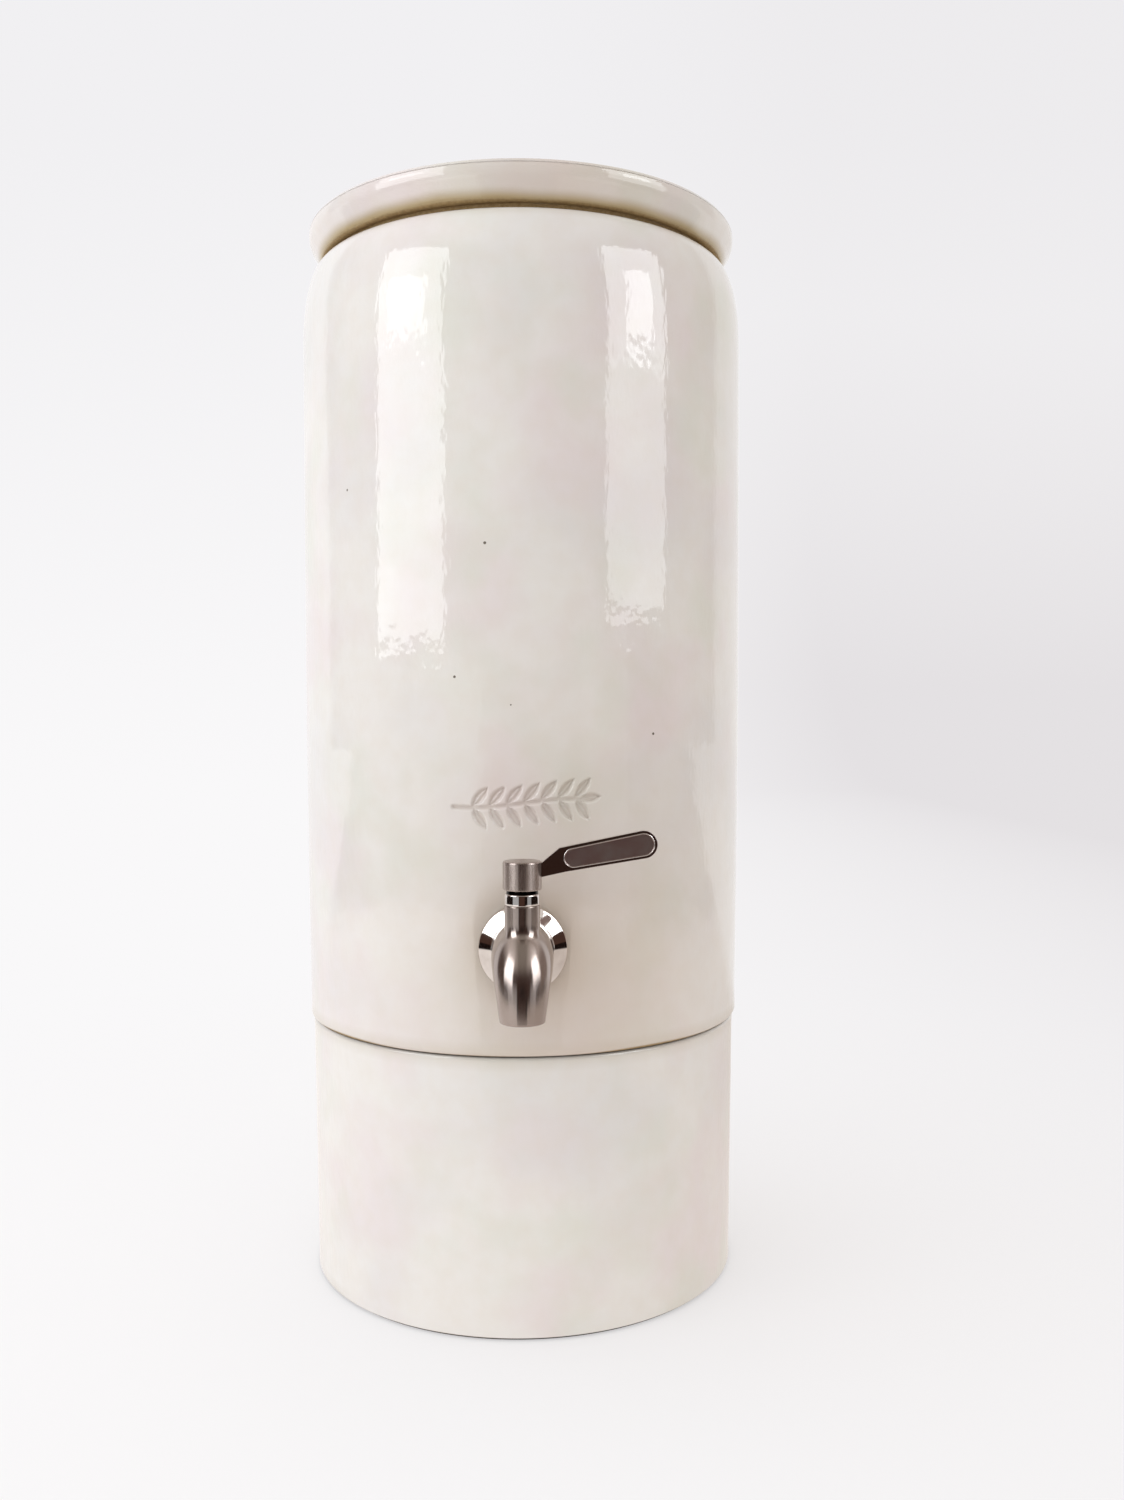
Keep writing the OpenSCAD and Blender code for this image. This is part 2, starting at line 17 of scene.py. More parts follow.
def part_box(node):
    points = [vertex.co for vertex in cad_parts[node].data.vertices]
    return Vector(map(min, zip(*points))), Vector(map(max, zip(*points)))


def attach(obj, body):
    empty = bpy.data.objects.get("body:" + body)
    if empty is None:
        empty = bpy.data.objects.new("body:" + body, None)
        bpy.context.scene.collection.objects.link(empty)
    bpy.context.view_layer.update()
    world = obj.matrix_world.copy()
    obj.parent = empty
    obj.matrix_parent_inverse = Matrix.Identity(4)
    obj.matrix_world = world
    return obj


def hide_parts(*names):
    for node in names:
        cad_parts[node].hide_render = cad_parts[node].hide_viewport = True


bl_info = {
    "name": "Stoneware Water Filter",
    "version": (1, 0, 0),
    "blender": (4, 5, 0),
    "location": "View3D > Sidebar > Water Filter",
    "description": "Builds a glazed stoneware water filter with a steel tap around its CAD frame",
    "category": "Object",
}

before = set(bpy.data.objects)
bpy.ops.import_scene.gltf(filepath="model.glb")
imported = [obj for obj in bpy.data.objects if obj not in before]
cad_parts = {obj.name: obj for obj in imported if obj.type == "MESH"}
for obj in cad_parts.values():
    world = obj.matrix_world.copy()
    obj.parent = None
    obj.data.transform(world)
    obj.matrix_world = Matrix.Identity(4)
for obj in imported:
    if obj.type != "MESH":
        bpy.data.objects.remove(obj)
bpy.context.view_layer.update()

MM = 0.001
FULL_TURN = 2 * math.pi
ARC_STEP = math.radians(11)


def box_of(node):
    """Lowest and highest corner of a CAD node in millimetres, as two arrays."""
    low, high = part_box(node)
    return np.array(low) / MM, np.array(high) / MM


def axis_of(node):
    """Distance of a turned node's upright axis in front of the vessel's axis."""
    low, high = box_of(node)
    return -(low[1] + high[1]) / 2


# ---------------------------------------------------------------- shapes


def ease(x, low, high):
    """0 below low, 1 above high, and between them three squares less two cubes of the share."""
    t = np.clip((x - low) / (high - low), 0, 1)
    return t * t * (3 - 2 * t)


def bump_between(x, low, high, soft):
    """1 from low to high, easing to 0 over the soft width outside both."""
    return ease(x, low - soft, low) * (1 - ease(x, high, high + soft))


def bell(x, width):
    """1 at 0, falling off on both sides as e to the minus square of x over the width."""
    return np.exp(-((x / width) ** 2))


def wrapped(angle):
    """The same angle between minus and plus half a turn."""
    return (angle + math.pi) % FULL_TURN - math.pi


def waver(angle, *waves):
    """Sum of sines: each is its size times the sine of its count times the angle plus its shift."""
    return sum(size * np.sin(count * angle + shift) for size, count, shift in waves)


def clay_waves(angle, height, seed):
    """Unevenness of hand-turned clay, about -1 to 1: waves that go 2 to 8 times round the pot and
    drift with height, plus shallow throwing rings that climb as a spiral, 26 mm a turn."""
    rng = np.random.default_rng(seed)
    times = np.arange(2, 9)
    phase, drift = rng.uniform(0, FULL_TURN, 7), rng.uniform(-22, 22, 7) * MM
    size = rng.uniform(0.5, 1, 7) / times**0.9
    waves = np.sin(times * angle[..., None] + phase + drift * height[..., None]) @ size
    rings = np.sin(FULL_TURN * height / 26 + angle + 1.3 * np.sin(2 * angle + seed))
    return 0.8 * waves / size.sum() + 0.2 * rings


def cut_line(path, step, closed=False):
    """Divides each straight part of a line into equal lengths of at most step."""
    ends = np.roll(path, -1, 0) if closed else path[1:]
    starts = path if closed else path[:-1]
    parts = np.maximum(1, np.ceil(np.linalg.norm(ends - starts, axis=1) / step)).astype(int)
    which = np.repeat(np.arange(len(parts)), parts)
    share = (np.arange(parts.sum()) - np.repeat(np.cumsum(parts) - parts, parts)) / parts[which]
    fine = starts[which] + (ends - starts)[which] * share[:, None]
    return fine if closed else np.vstack([fine, path[-1:]])


def rounded_line(corners, step, closed=False):
    """A line through corners (radius, height, rounding). Each corner with a rounding becomes the
    arc of that radius that is tangent to both its sides; straight parts are cut to step."""
    c = np.array(corners, float)
    pieces = []
    for k, (place, rounding) in enumerate(zip(c[:, :2], c[:, 2])):
        if rounding == 0:
            pieces.append(place[None])
            continue
        back, on = c[k - 1, :2] - place, c[(k + 1) % len(c), :2] - place
        back, on = back / np.linalg.norm(back), on / np.linalg.norm(on)
        half = math.acos(np.clip(back @ on, -1, 1)) / 2
        bend = math.pi - 2 * half
        reach = rounding / math.tan(half)
        middle = place + (back + on) / np.linalg.norm(back + on) * rounding / math.sin(half)
        u, v = place + back * reach - middle, place + on * reach - middle
        t = np.linspace(0, 1, max(4, math.ceil(bend / ARC_STEP)) + 1)[:, None]
        pieces.append(middle + (np.sin((1 - t) * bend) * u + np.sin(t * bend) * v) / math.sin(bend))
    return cut_line(np.vstack(pieces), step, closed)


def oval_line(middle, reach, low, high, count):
    """Points of an oval: middle + (reach cos a, reach sin a) for a from low to high degrees."""
    a = np.radians(np.linspace(low, high, count))
    return np.stack([middle[0] + reach[0] * np.cos(a), middle[1] + reach[1] * np.sin(a)], 1)


def ridged_line(radius, depth, pitch, zero, low, high, step):
    """Side of a thread, drawn as rings: the radius less depth times the distance from the middle of
    each pitch, as a share of the pitch, at heights from low to high."""
    z = np.arange(low, high, step)
    return np.stack([radius - depth * np.abs((z - zero) / pitch % 1 - 0.5), z], 1)


def bezier(points, t):
    """Cubic curve and its unit direction: the four points weighted by (1-t) cubed, three times
    (1-t) squared t, three times (1-t) t squared, and t cubed."""
    p, t = np.array(points, float), np.asarray(t)[:, None]
    s = 1 - t
    line = s**3 * p[0] + 3 * s * s * t * p[1] + 3 * s * t * t * p[2] + t**3 * p[3]
    way = s * s * (p[1] - p[0]) + 2 * s * t * (p[2] - p[1]) + t * t * (p[3] - p[2])
    return line, way / np.linalg.norm(way, axis=1, keepdims=True)


def turn_angles(count, fine_half=0.0, fine_step=1.0):
    """Angles round an upright axis, from -Y towards +X. Between -fine_half and fine_half they are
    fine_step apart, and count of them share the rest of the turn."""
    if not fine_half:
        return np.linspace(0, FULL_TURN, count, endpoint=False)
    fine = np.linspace(-fine_half, fine_half, math.ceil(2 * fine_half / fine_step) + 1)
    return np.concatenate([fine, np.linspace(fine_half, FULL_TURN - fine_half, count + 2)[1:-1]])


def spread(profile, angles):
    """Radius, height and angle of each point of a turned surface, as three grids."""
    return np.broadcast_arrays(profile[:, :1], profile[:, 1:], angles[None, :])


def spin(radius, height, angle):
    """Surface of revolution about Z: (r sin a, -r cos a, z), for arrays of one shape."""
    return np.stack([radius * np.sin(angle), -radius * np.cos(angle), height + 0 * angle], -1)


def mesh_object(name, points, faces):
    """A smooth mesh object from points (n, 3) and a list of face index arrays."""
    mesh = bpy.data.meshes.new(name)
    mesh.from_pydata(np.asarray(points) * MM, [], [f for group in faces for f in group.tolist()])
    mesh.update()
    mesh.shade_smooth()
    made = bpy.data.objects.new(name, mesh)
    bpy.context.scene.collection.objects.link(made)
    return made


def skin(name, grid, ring_rows=False, poles=(None, None)):
    """A closed surface from grid[row, column] points: quads between neighbours, where columns close
    on themselves and rows may too. Each pole, where given, closes that end with triangles."""
    rows, cols = grid.shape[:2]
    i, j = np.meshgrid(np.arange(rows if ring_rows else rows - 1), np.arange(cols), indexing="ij")
    up, side = (i + 1) % rows, (j + 1) % cols
    quads = np.stack([i * cols + j, i * cols + side, up * cols + side, up * cols + j], -1)
    points, faces = [grid.reshape(-1, 3)], [quads.reshape(-1, 4)]
    for last, pole in enumerate(poles):
        if pole is not None:
            a = (rows - 1) * last * cols + np.arange(cols)
            b = a - np.arange(cols) + side[0]
            tip = np.full(cols, rows * cols + len(points) - 1)
            points.append(np.array(pole, float).reshape(1, 3))
            faces.append(np.stack([a, b, tip] if last else [b, a, tip], -1))
    return mesh_object(name, np.vstack(points), faces)


def turned(name, profile, angles, ring=False, ahead=0.0, lying=None):
    """Carries a profile (radius, height) round Z. A profile that starts or ends on the axis is
    closed by a pole there. The piece then moves ahead along -Y, or, where the height of a level
    axis is given in lying, lies along it, so that its own height becomes distance along -Y."""
    low, high = (not ring and profile[k, 0] < 1e-6 for k in (0, -1))
    body = profile[int(low) : len(profile) - int(high)]
    ends = [np.array([0, 0, profile[k, 1]]) if on else None for k, on in ((0, low), (-1, high))]

    def place(points):
        """Moves points of the upright piece to where it stands or lies."""
        if lying is None:
            return points + np.array([0, -ahead, 0])
        return np.stack([points[..., 0], -points[..., 2], points[..., 1] + lying], -1)

    poles = [None if end is None else place(end) for end in ends]
    return skin(name, place(spin(*spread(body, angles))), ring, poles)


def paint(piece, name, values):
    """Stores one number per point of the piece, for its material to read. Poles, which come after
    the grid's points, take the last number."""
    layer = piece.data.attributes.new(name, "FLOAT", "POINT")
    full = np.full(len(piece.data.vertices), values.flat[-1], np.float32)
    full[: values.size] = values.ravel()
    layer.data.foreach_set("value", full)


def combine(piece, other, operation):
    """Joins a closed mesh to the piece or cuts it out of it, and removes that mesh."""
    tool = piece.modifiers.new(operation.title(), "BOOLEAN")
    tool.operation, tool.object, tool.solver = operation, other, "MANIFOLD"
    bpy.context.view_layer.update()
    solid = piece.evaluated_get(bpy.context.evaluated_depsgraph_get())
    done = bpy.data.meshes.new_from_object(solid)
    if not len(done.polygons):
        raise RuntimeError(f"{piece.name}: the {operation} came out empty")
    piece.modifiers.clear()
    old, piece.data = piece.data, done
    bpy.data.meshes.remove(old)
    bpy.data.objects.remove(other)


def finish_piece(piece, body, node, finish):
    """The piece rides on its body, stands for its CAD node and takes its material."""
    piece.data.materials.clear()
    piece.data.materials.append(material_of(finish))
    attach(piece, body)
    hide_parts(node)


# ------------------------------------------------------------- materials


def linear(colour):
    """An sRGB hex colour as linear red, green, blue and 1."""
    c = np.array([int(colour[k : k + 2], 16) for k in (1, 3, 5)]) / 255
    return (*np.where(c <= 0.04045, c / 12.92, ((c + 0.055) / 1.055) ** 2.4).tolist(), 1.0)


def add(tree, kind, *values, inputs=None, out=None, **settings):
    """Adds a node with its settings. The values go to its inputs in order, of those that the
    settings leave in use, and inputs fills more by name. A value is a number, a vector, an sRGB hex
    colour or the output that feeds the input. Gives the output named out, or else the first."""
    made = tree.nodes.new("ShaderNode" + kind)
    for key, value in settings.items():
        setattr(made, key, value)
    pairs = list(zip([s for s in made.inputs if s.enabled], values))
    pairs += [(made.inputs[name], value) for name, value in (inputs or {}).items()]
    for socket, value in pairs:
        if isinstance(value, bpy.types.NodeSocket):
            tree.links.new(value, socket)
        else:
            socket.default_value = linear(value) if isinstance(value, str) else value
    used = [s for s in made.outputs if s.enabled]
    return made.outputs[out] if out else used[0] if used else None


def new_material(name):
    """An empty node material, its tree, and each point's place on the object."""
    material = bpy.data.materials.new(name)
    material.use_nodes = True
    tree = material.node_tree
    tree.nodes.clear()
    return material, tree, add(tree, "TexCoord", out="Object")


def mask(tree, *ramps):
    """Product of ramps. Each carries a value from a range to 0..1, or to two ends of its own."""
    product = add(tree, "MapRange", *ramps[0])
    for ramp in ramps[1:]:
        level = add(tree, "MapRange", *ramp)
        product = add(tree, "Math", product, level, operation="MULTIPLY")
    return product


# Cloudy patches of the glaze: colour, size in mm, shift of the pattern in m, range and strength
CLOUDS = [
    ("glaze_pink", 46, 0.0, 0.47, 0.66, 0.75),
    ("glaze_green", 34, 0.31, 0.5, 0.68, 0.6),
    ("glaze_grey", 58, 0.77, 0.48, 0.7, 0.6),
]
# Iron specks on the crock's front: across and up, and radius, in millimetres
SPECKS = [(-13, 287, 0.55), (-24, 240, 0.5), (-4, 230, 0.35), (35, 143, 0.75), (28, 150, 0.4)]


def stoneware():
    """Stoneware: a thick off-white glaze, dipped and fired over buff clay.

    The glaze is glass, so it mirrors sharply with an orange-peel ripple; it is cloudy, with faint
    pink, green and grey patches 20 to 60 mm across, thins to a warmer tone on edges and pools a
    little darker in pressed ornament. It holds iron specks 1.5 mm across or less. Wiped faces show
    dry clay."""
    scene = bpy.context.scene
    tones, glaze = scene.filter_colours, scene.filter_glaze
    radius = scene.filter_vessel.crock_radius
    material, tree, place = new_material("GlazedStoneware")
    bare, thin, pool_and_shade, stain_and_shade, lumps, seam_shade = (
        add(tree, "Attribute", attribute_name=name, out="Fac")
        for name in ("bare", "thin", "pool_and_shade", "stain_and_shade", "lumps", "seam_shade"))

    colour = tones.glaze
    for tone, size, shift, low, high, strength in CLOUDS:
        moved = add(tree, "VectorMath", place, (shift,) * 3, operation="ADD")
        patch = add(tree, "TexNoise", moved, 1 / (size * MM), 2.0)
        patch = add(tree, "MapRange", patch, low, high, 0.0, strength)
        colour = add(tree, "Mix", patch, colour, getattr(tones, tone), data_type="RGBA")
    fine = add(tree, "TexNoise", place, 1 / (7 * MM), 3.0)
    fine = add(tree, "MapRange", fine, 0.35, 0.7, 0.0, 0.16)

    # Iron specks: the middles of a few cells 16 mm apart, and the ones listed
    cells = add(tree, "TexVoronoi", place, 1 / (16 * MM)).node.outputs
    few = add(tree, "SeparateColor", cells["Color"])
    wide = add(tree, "MapRange", few, 0.72, 1.0, 0.0, 0.034)
    speck = add(tree, "Math", cells["Distance"], wide, operation="LESS_THAN")
    for across, up, size in SPECKS:
        spot = (across * MM, -math.sqrt(radius**2 - (across * MM) ** 2), up * MM)
        spot = add(tree, "VectorMath", place, spot, operation="DISTANCE")
        spot = add(tree, "Math", spot, size * MM, operation="LESS_THAN")
        speck = add(tree, "Math", speck, spot, operation="MAXIMUM")

    # Dry clay where the glaze was wiped off
    grain = add(tree, "TexNoise", place, 1 / (1.2 * MM), 3.0)
    clay = add(tree, "MapRange", grain, 0.35, 0.65)
    clay = add(tree, "Mix", clay, tones.clay_dark, tones.clay, data_type="RGBA")

    # Thin glaze on edges is warmer, and glaze pooled in a hollow is deeper. Painted shade is mixed
    # in as well: in the pooled tone low on the crock's front and on the lid, in the ochre tone round
    # the tap, and in the darkest tone along the seams
    for amount, tone in (
        (fine, tones.glaze_warm), (thin, tones.glaze_thin), (pool_and_shade, tones.glaze_deep_and_shade),
        (stain_and_shade, tones.glaze_stain_and_shade), (speck, tones.speck), (bare, clay), (seam_shade, tones.seam_shade),
    ):
        colour = add(tree, "Mix", amount, colour, tone, data_type="RGBA")
    smudge = add(tree, "TexNoise", place, 1 / (21 * MM), 3.0)
    smudge = add(tree, "MapRange", smudge, 0.3, 0.7, glaze.roughness, glaze.roughness * 1.9)
    rough = add(tree, "Mix", bare, smudge, 0.82)

    # Wiped ridges, higher than they are wide, over slower ripples and lumps; clay has its own grain
    ridges = add(tree, "VectorMath", place, (1.35, 1.35, 0.5), operation="MULTIPLY")
    height = add(tree, "TexNoise", ridges, 1 / glaze.peel_size, 1.0)
    ripple = add(tree, "TexNoise", place, 1 / glaze.ripple_size, 1.0)
    lump = add(tree, "TexNoise", place, 1 / (6.5 * MM), 1.5)
    lump = add(tree, "Math", lump, lumps, operation="MULTIPLY")
    for part, depth in ((ripple, glaze.ripple_height), (lump, glaze.lump_height)):
        depth = depth / glaze.peel_height
        height = add(tree, "Math", part, depth, height, operation="MULTIPLY_ADD")
    rocky = add(tree, "Math", grain, 1.6, operation="MULTIPLY")
    height = add(tree, "Mix", bare, height, rocky)
    bump = add(tree, "Bump", inputs={"Distance": glaze.peel_height, "Height": height})
    look = {"Base Color": colour, "Roughness": rough, "Normal": bump, "IOR": 1.5}
    add(tree, "OutputMaterial", add(tree, "BsdfPrincipled", inputs=look))
    return material


def steel(name, colour, dull, roughness, line, depth, direction, brushed=0.0):
    """Stainless steel, turned and then brushed or buffed. Fine lines along one direction blur its
    mirror across them; line is their width, drawn wide enough to show."""
    tones = bpy.context.scene.filter_colours
    rough = getattr(bpy.context.scene.filter_tap, roughness)
    material, tree, place = new_material(name)
    stretch = [1 / (line * MM * (1 if across else 14)) for across in direction]
    lines = add(tree, "VectorMath", place, stretch, operation="MULTIPLY")
    lines = add(tree, "TexNoise", lines, 1.0, 2.0)
    cloud = add(tree, "TexNoise", place, 1 / (6 * MM), 2.0)
    cloud = add(tree, "MapRange", cloud, 0.3, 0.75, 0.0, 0.35)
    tone = add(
        tree, "Mix", cloud, getattr(tones, colour), getattr(tones, dull), data_type="RGBA")
    # Painted shade: steel marked as sunk is painted near black
    sunk = add(tree, "Attribute", attribute_name="sunk", out="Fac")
    look = {
        "Base Color": add(tree, "Mix", sunk, tone, tones.groove_shade, data_type="RGBA"),
        "Metallic": 1.0,
        "Roughness": add(tree, "MapRange", lines, 0.3, 0.7, rough * 0.85, rough * 1.15),
        "Normal": add(tree, "Bump", inputs={"Distance": depth, "Height": lines}),
    }
    if brushed:
        look["Tangent"] = add(tree, "Tangent", direction_type="RADIAL", axis="Z")
        look |= {"Anisotropic": brushed, "Anisotropic Rotation": 0.25}
    add(tree, "OutputMaterial", add(tree, "BsdfPrincipled", inputs=look))
    return material


def lever_steel():
    """Stamped stainless steel: a buffed border round a panel that was blasted to a dark satin. The
    border's flat is painted darker than polished steel, as painted shade.
    """
    tones = bpy.context.scene.filter_colours
    material, tree, place = new_material("StampedLeverSteel")
    panel, level = (
        add(tree, "Attribute", attribute_name=name, out="Fac") for name in ("panel", "flat"))
    cloud = add(tree, "TexNoise", place, 1 / (5 * MM), 3.0)
    cloud = add(tree, "MapRange", cloud, 0.35, 0.7, 0.0, 0.6)
    blasted = add(tree, "Mix", cloud, tones.panel, tones.steel_dark, data_type="RGBA")
    # Painted shade: the flat of the border is darker than polished steel
    tone = add(tree, "Mix", level, tones.polished, tones.border, data_type="RGBA")
    grit = add(tree, "TexNoise", place, 1 / (0.2 * MM), 1.0)
    look = {
        "Base Color": add(tree, "Mix", panel, tone, blasted, data_type="RGBA"),
        "Metallic": 1.0,
        "Roughness": add(tree, "Mix", panel, 0.12, 0.42),
        "Normal": add(
            tree, "Bump", inputs={"Strength": panel, "Distance": 6e-6, "Height": grit}),
    }
    add(tree, "OutputMaterial", add(tree, "BsdfPrincipled", inputs=look))
    return material


def moulded(name, colour, second, roughness, grain, depth, more=None):
    """A plain moulded or pressed material: two close tones and a fine grain."""
    material, tree, place = new_material(name)
    fine = add(tree, "TexNoise", place, 1 / (grain * MM), 3.0)
    broad = add(tree, "TexNoise", place, 1 / (grain * 14 * MM), 2.0)
    broad = add(tree, "MapRange", broad, 0.3, 0.7)
    dullest = min(1.0, roughness * 1.15)
    look = {
        "Base Color": add(tree, "Mix", broad, colour, second, data_type="RGBA"),
        "Roughness": add(tree, "MapRange", fine, 0.3, 0.7, roughness * 0.85, dullest),
        "Normal": add(tree, "Bump", inputs={"Distance": depth, "Height": fine}),
        **(more or {}),
    }
    add(tree, "OutputMaterial", add(tree, "BsdfPrincipled", inputs=look))
    return material


# Each finish: its maker, name, two tones, roughness, width of its lines or grain in millimetres,
# depth of them in metres, and what else it needs. Buffed lines on steel are near 0.05 mm; they are
# drawn 0.25 to 0.3 mm wide so that they show.
FINISHES = {
    "stoneware": (stoneware,),
    "lever": (lever_steel,),
    # Brushed and tumbled: a soft mirror that stretches highlights
    "satin": (steel, "SatinSteel", "steel", "steel_dark", "satin", 0.25, 2e-6, (1, 1, 0), 0.92),
    # Turned on a lathe: duller, with the same stretched highlights
    "turned": (steel, "TurnedSteel", "steel", "steel_dark", "turned", 0.25, 2e-6, (1, 1, 0), 0.92),
    # Buffed to a mirror, with the faintest of lines
    "polished": (steel, "PolishedSteel", "polished", "steel", "polish", 0.3, 5e-7, (1, 1, 1)),
    # Cold-formed and left as it came: grey and dull
    "plain": (steel, "PlainSteel", "steel", "steel_dark", "plain", 0.3, 4e-6, (1, 0, 1)),
    # Silicone: soft, slightly see-through and never shiny
    "silicone": (moulded, "ClearSilicone", "#d9dcda", "#cfd3d2", 0.45, 0.4, 4e-6,
                 {"IOR": 1.41, "Transmission Weight": 0.35}),
    # Nitrile rubber: near black with a waxy sheen
    "rubber": (moulded, "NitrileRubber", "#242322", "#2e2c2b", 0.5, 0.3, 5e-6),
    # Polypropylene: milky white with a low moulded gloss
    "plastic": (moulded, "WhitePolypropylene", "#eeeae2", "#e6e1d7", 0.38, 0.5, 6e-6,
                {"IOR": 1.49, "Subsurface Weight": 0.08}),
    # Fired diatomite: chalky, with open pores near 0.3 mm
    "ceramic": (moulded, "PorousCeramic", "#efe8da", "#e3dac9", 0.9, 0.35, 6e-5),
    # Pressed charcoal grains near 0.6 mm
    "carbon": (moulded, "PressedCarbon", "#1f1e1d", "#33302d", 0.8, 0.6, 1.2e-4),
}
MATERIALS = {}


def material_of(finish):
    """The shared material of that finish, made on first use."""
    if finish not in MATERIALS:
        maker, *about = FINISHES[finish]
        MATERIALS[finish] = maker(*about)
    return MATERIALS[finish]


# -------------------------------------------------------------- settings


def mm(name, text, value):
    """A size, given here in millimetres."""
    return bpy.props.FloatProperty(
        name=name, description=text, default=float(value) * MM, unit="LENGTH")


def degrees(name, text, value):
    """An angle, given here in degrees."""
    return bpy.props.FloatProperty(
        name=name, description=text, default=math.radians(value), unit="ROTATION")


def fraction(name, text, value):
    """A number from 0 to 1."""
    return bpy.props.FloatProperty(
        name=name, description=text, default=value, min=0, max=1, subtype="FACTOR")


def number(name, text, value):
    """A plain number."""
    return bpy.props.FloatProperty(name=name, description=text, default=value)


def srgb(name, text, value):
    """A colour, as sRGB hex."""
    return bpy.props.StringProperty(name=name, description=text, default=value)


def in_mm(settings):
    """A group's settings as plain values, with its lengths in millimetres."""
    values = {}
    for key in type(settings).__annotations__:
        is_length = settings.bl_rna.properties[key].unit == "LENGTH"
        values[key] = getattr(settings, key) / (MM if is_length else 1)
    return SimpleNamespace(**values)


class FilterVessel(bpy.types.PropertyGroup):
    """Sizes of the pottery."""

    crock_radius: mm("Crock radius", "Widest radius of the crock", box_of("crock")[1][0])
    rim_height: mm("Rim height", "Height of the crock's rim", box_of("crock")[1][2])
    seat_height: mm("Seat height", "Height of the stand's top", box_of("stand")[1][2])
    lid_radius: mm("Lid radius", "Widest radius of the lid", box_of("lid")[1][0])
    crock_taper: mm("Crock taper", "How much narrower the crock's foot is", 1.3)
    crock_wall: mm("Crock wall", "Wall of the crock", 7.5)
    belly_height: mm("Belly height", "Height above the seat of the full width", 96)
    shoulder_drop: mm("Shoulder height", "Height of the rounded shoulder", 30)
    shoulder_in: mm("Shoulder depth", "How far the shoulder comes in", 8)
    lid_lean: degrees("Lid lean", "How far the lid's side leans outwards", 30)
    stand_wall: mm("Stand wall", "Wall of the stand", 8.5)
    unevenness: mm("Unevenness", "Size of the clay's slow waves", 0.16)
    ornament_depth: mm("Ornament depth", "How deep the leaf sprig is pressed", 1.25)
    ornament_length: mm("Ornament length", "Length of the leaf sprig", 56)
    ornament_height: mm("Ornament height", "Height of its middle above the floor", 195)


class FilterGlaze(bpy.types.PropertyGroup):
    """Surface of the glaze."""

    roughness: fraction("Roughness", "Roughness of the fired glaze", 0.03)
    peel_size: mm("Ridge size", "Height of the small wiped ridges", 2.5)
    peel_height: mm("Ridge depth", "Depth of the small ridges", 0.058)
    lump_height: mm("Lump depth", "Depth of the wiped lumps", 0.24)
    ripple_size: mm("Ripple size", "Width of the slow ripples", 16)
    ripple_height: mm("Ripple height", "Height of the slow ripples", 0.16)


class FilterColours(bpy.types.PropertyGroup):
    """Colours as sRGB hex."""

    glaze: srgb("Glaze", "Off-white body of the glaze", "#ded8d2")
    glaze_pink: srgb("Pink patches", "Pinkish cloud in the glaze", "#dacdcb")
    glaze_green: srgb("Green patches", "Greenish cloud in the glaze", "#d3d1c5")
    glaze_grey: srgb("Grey patches", "Greyish cloud in the glaze", "#d4cfcc")
    glaze_warm: srgb("Warm glaze", "Warmer flecks of the glaze", "#d3c4b2")
    glaze_thin: srgb("Thin glaze", "Glaze where the clay shows through", "#a8936a")
    glaze_stain_and_shade: srgb("Stain and shade", "Ochre shade round the tap", "#b7a284")
    glaze_deep_and_shade: srgb("Pooled glaze and shade", "Glaze where it pools, and painted shade", "#bda593")
    speck: srgb("Specks", "Iron specks", "#6f665c")
    clay: srgb("Clay", "Fired buff clay", "#9c8155")
    clay_dark: srgb("Dark clay", "Darker grains of the clay", "#896f46")
    seam_shade: srgb("Painted seam shade", "Grime in the seams", "#3c332d")
    steel: srgb("Satin steel", "Satin steel", "#b0a39c")
    steel_dark: srgb("Dull steel", "Duller clouds of the satin steel", "#9e918b")
    polished: srgb("Polished steel", "Polished steel", "#e6dfda")
    groove_shade: srgb("Groove shade", "Painted shade in the groove under the tap's cap", "#140d0b")
    panel: srgb("Lever panel", "Dark satin panel of the lever", "#937a75")
    border: srgb("Lever border", "Buffed border of the lever, painted darker as shade", "#978b86")


class FilterTap(bpy.types.PropertyGroup):
    """Sizes and finishes of the tap."""

    bulb_radius: mm("Bulb radius", "Widest radius of the bulb", 10.45)
    barrel_radius: mm("Barrel radius", "Radius at the flange", 9.8)
    spout_radius: mm("Spout radius", "Radius of the spout's mouth", 7.5)
    bore_radius: mm("Bore radius", "Radius of the spout's bore", 5.6)
    neck_radius: mm("Neck radius", "Radius of the neck", 6)
    flare: mm("Neck flare", "Rounding in front, where the neck meets the bulb", 2)
    lever_thickness: mm("Lever thickness", "Thickness of the lever", 3)
    lever_rise: degrees("Lever rise", "Slope of the paddle", 10.4)
    satin: fraction("Satin roughness", "Roughness of the satin steel", 0.18)
    turned: fraction("Turned roughness", "Roughness of the turned cap", 0.28)
    polish: fraction("Polished roughness", "Roughness of the polished steel", 0.06)
    plain: fraction("Plain roughness", "Roughness of nuts and hidden steel", 0.42)


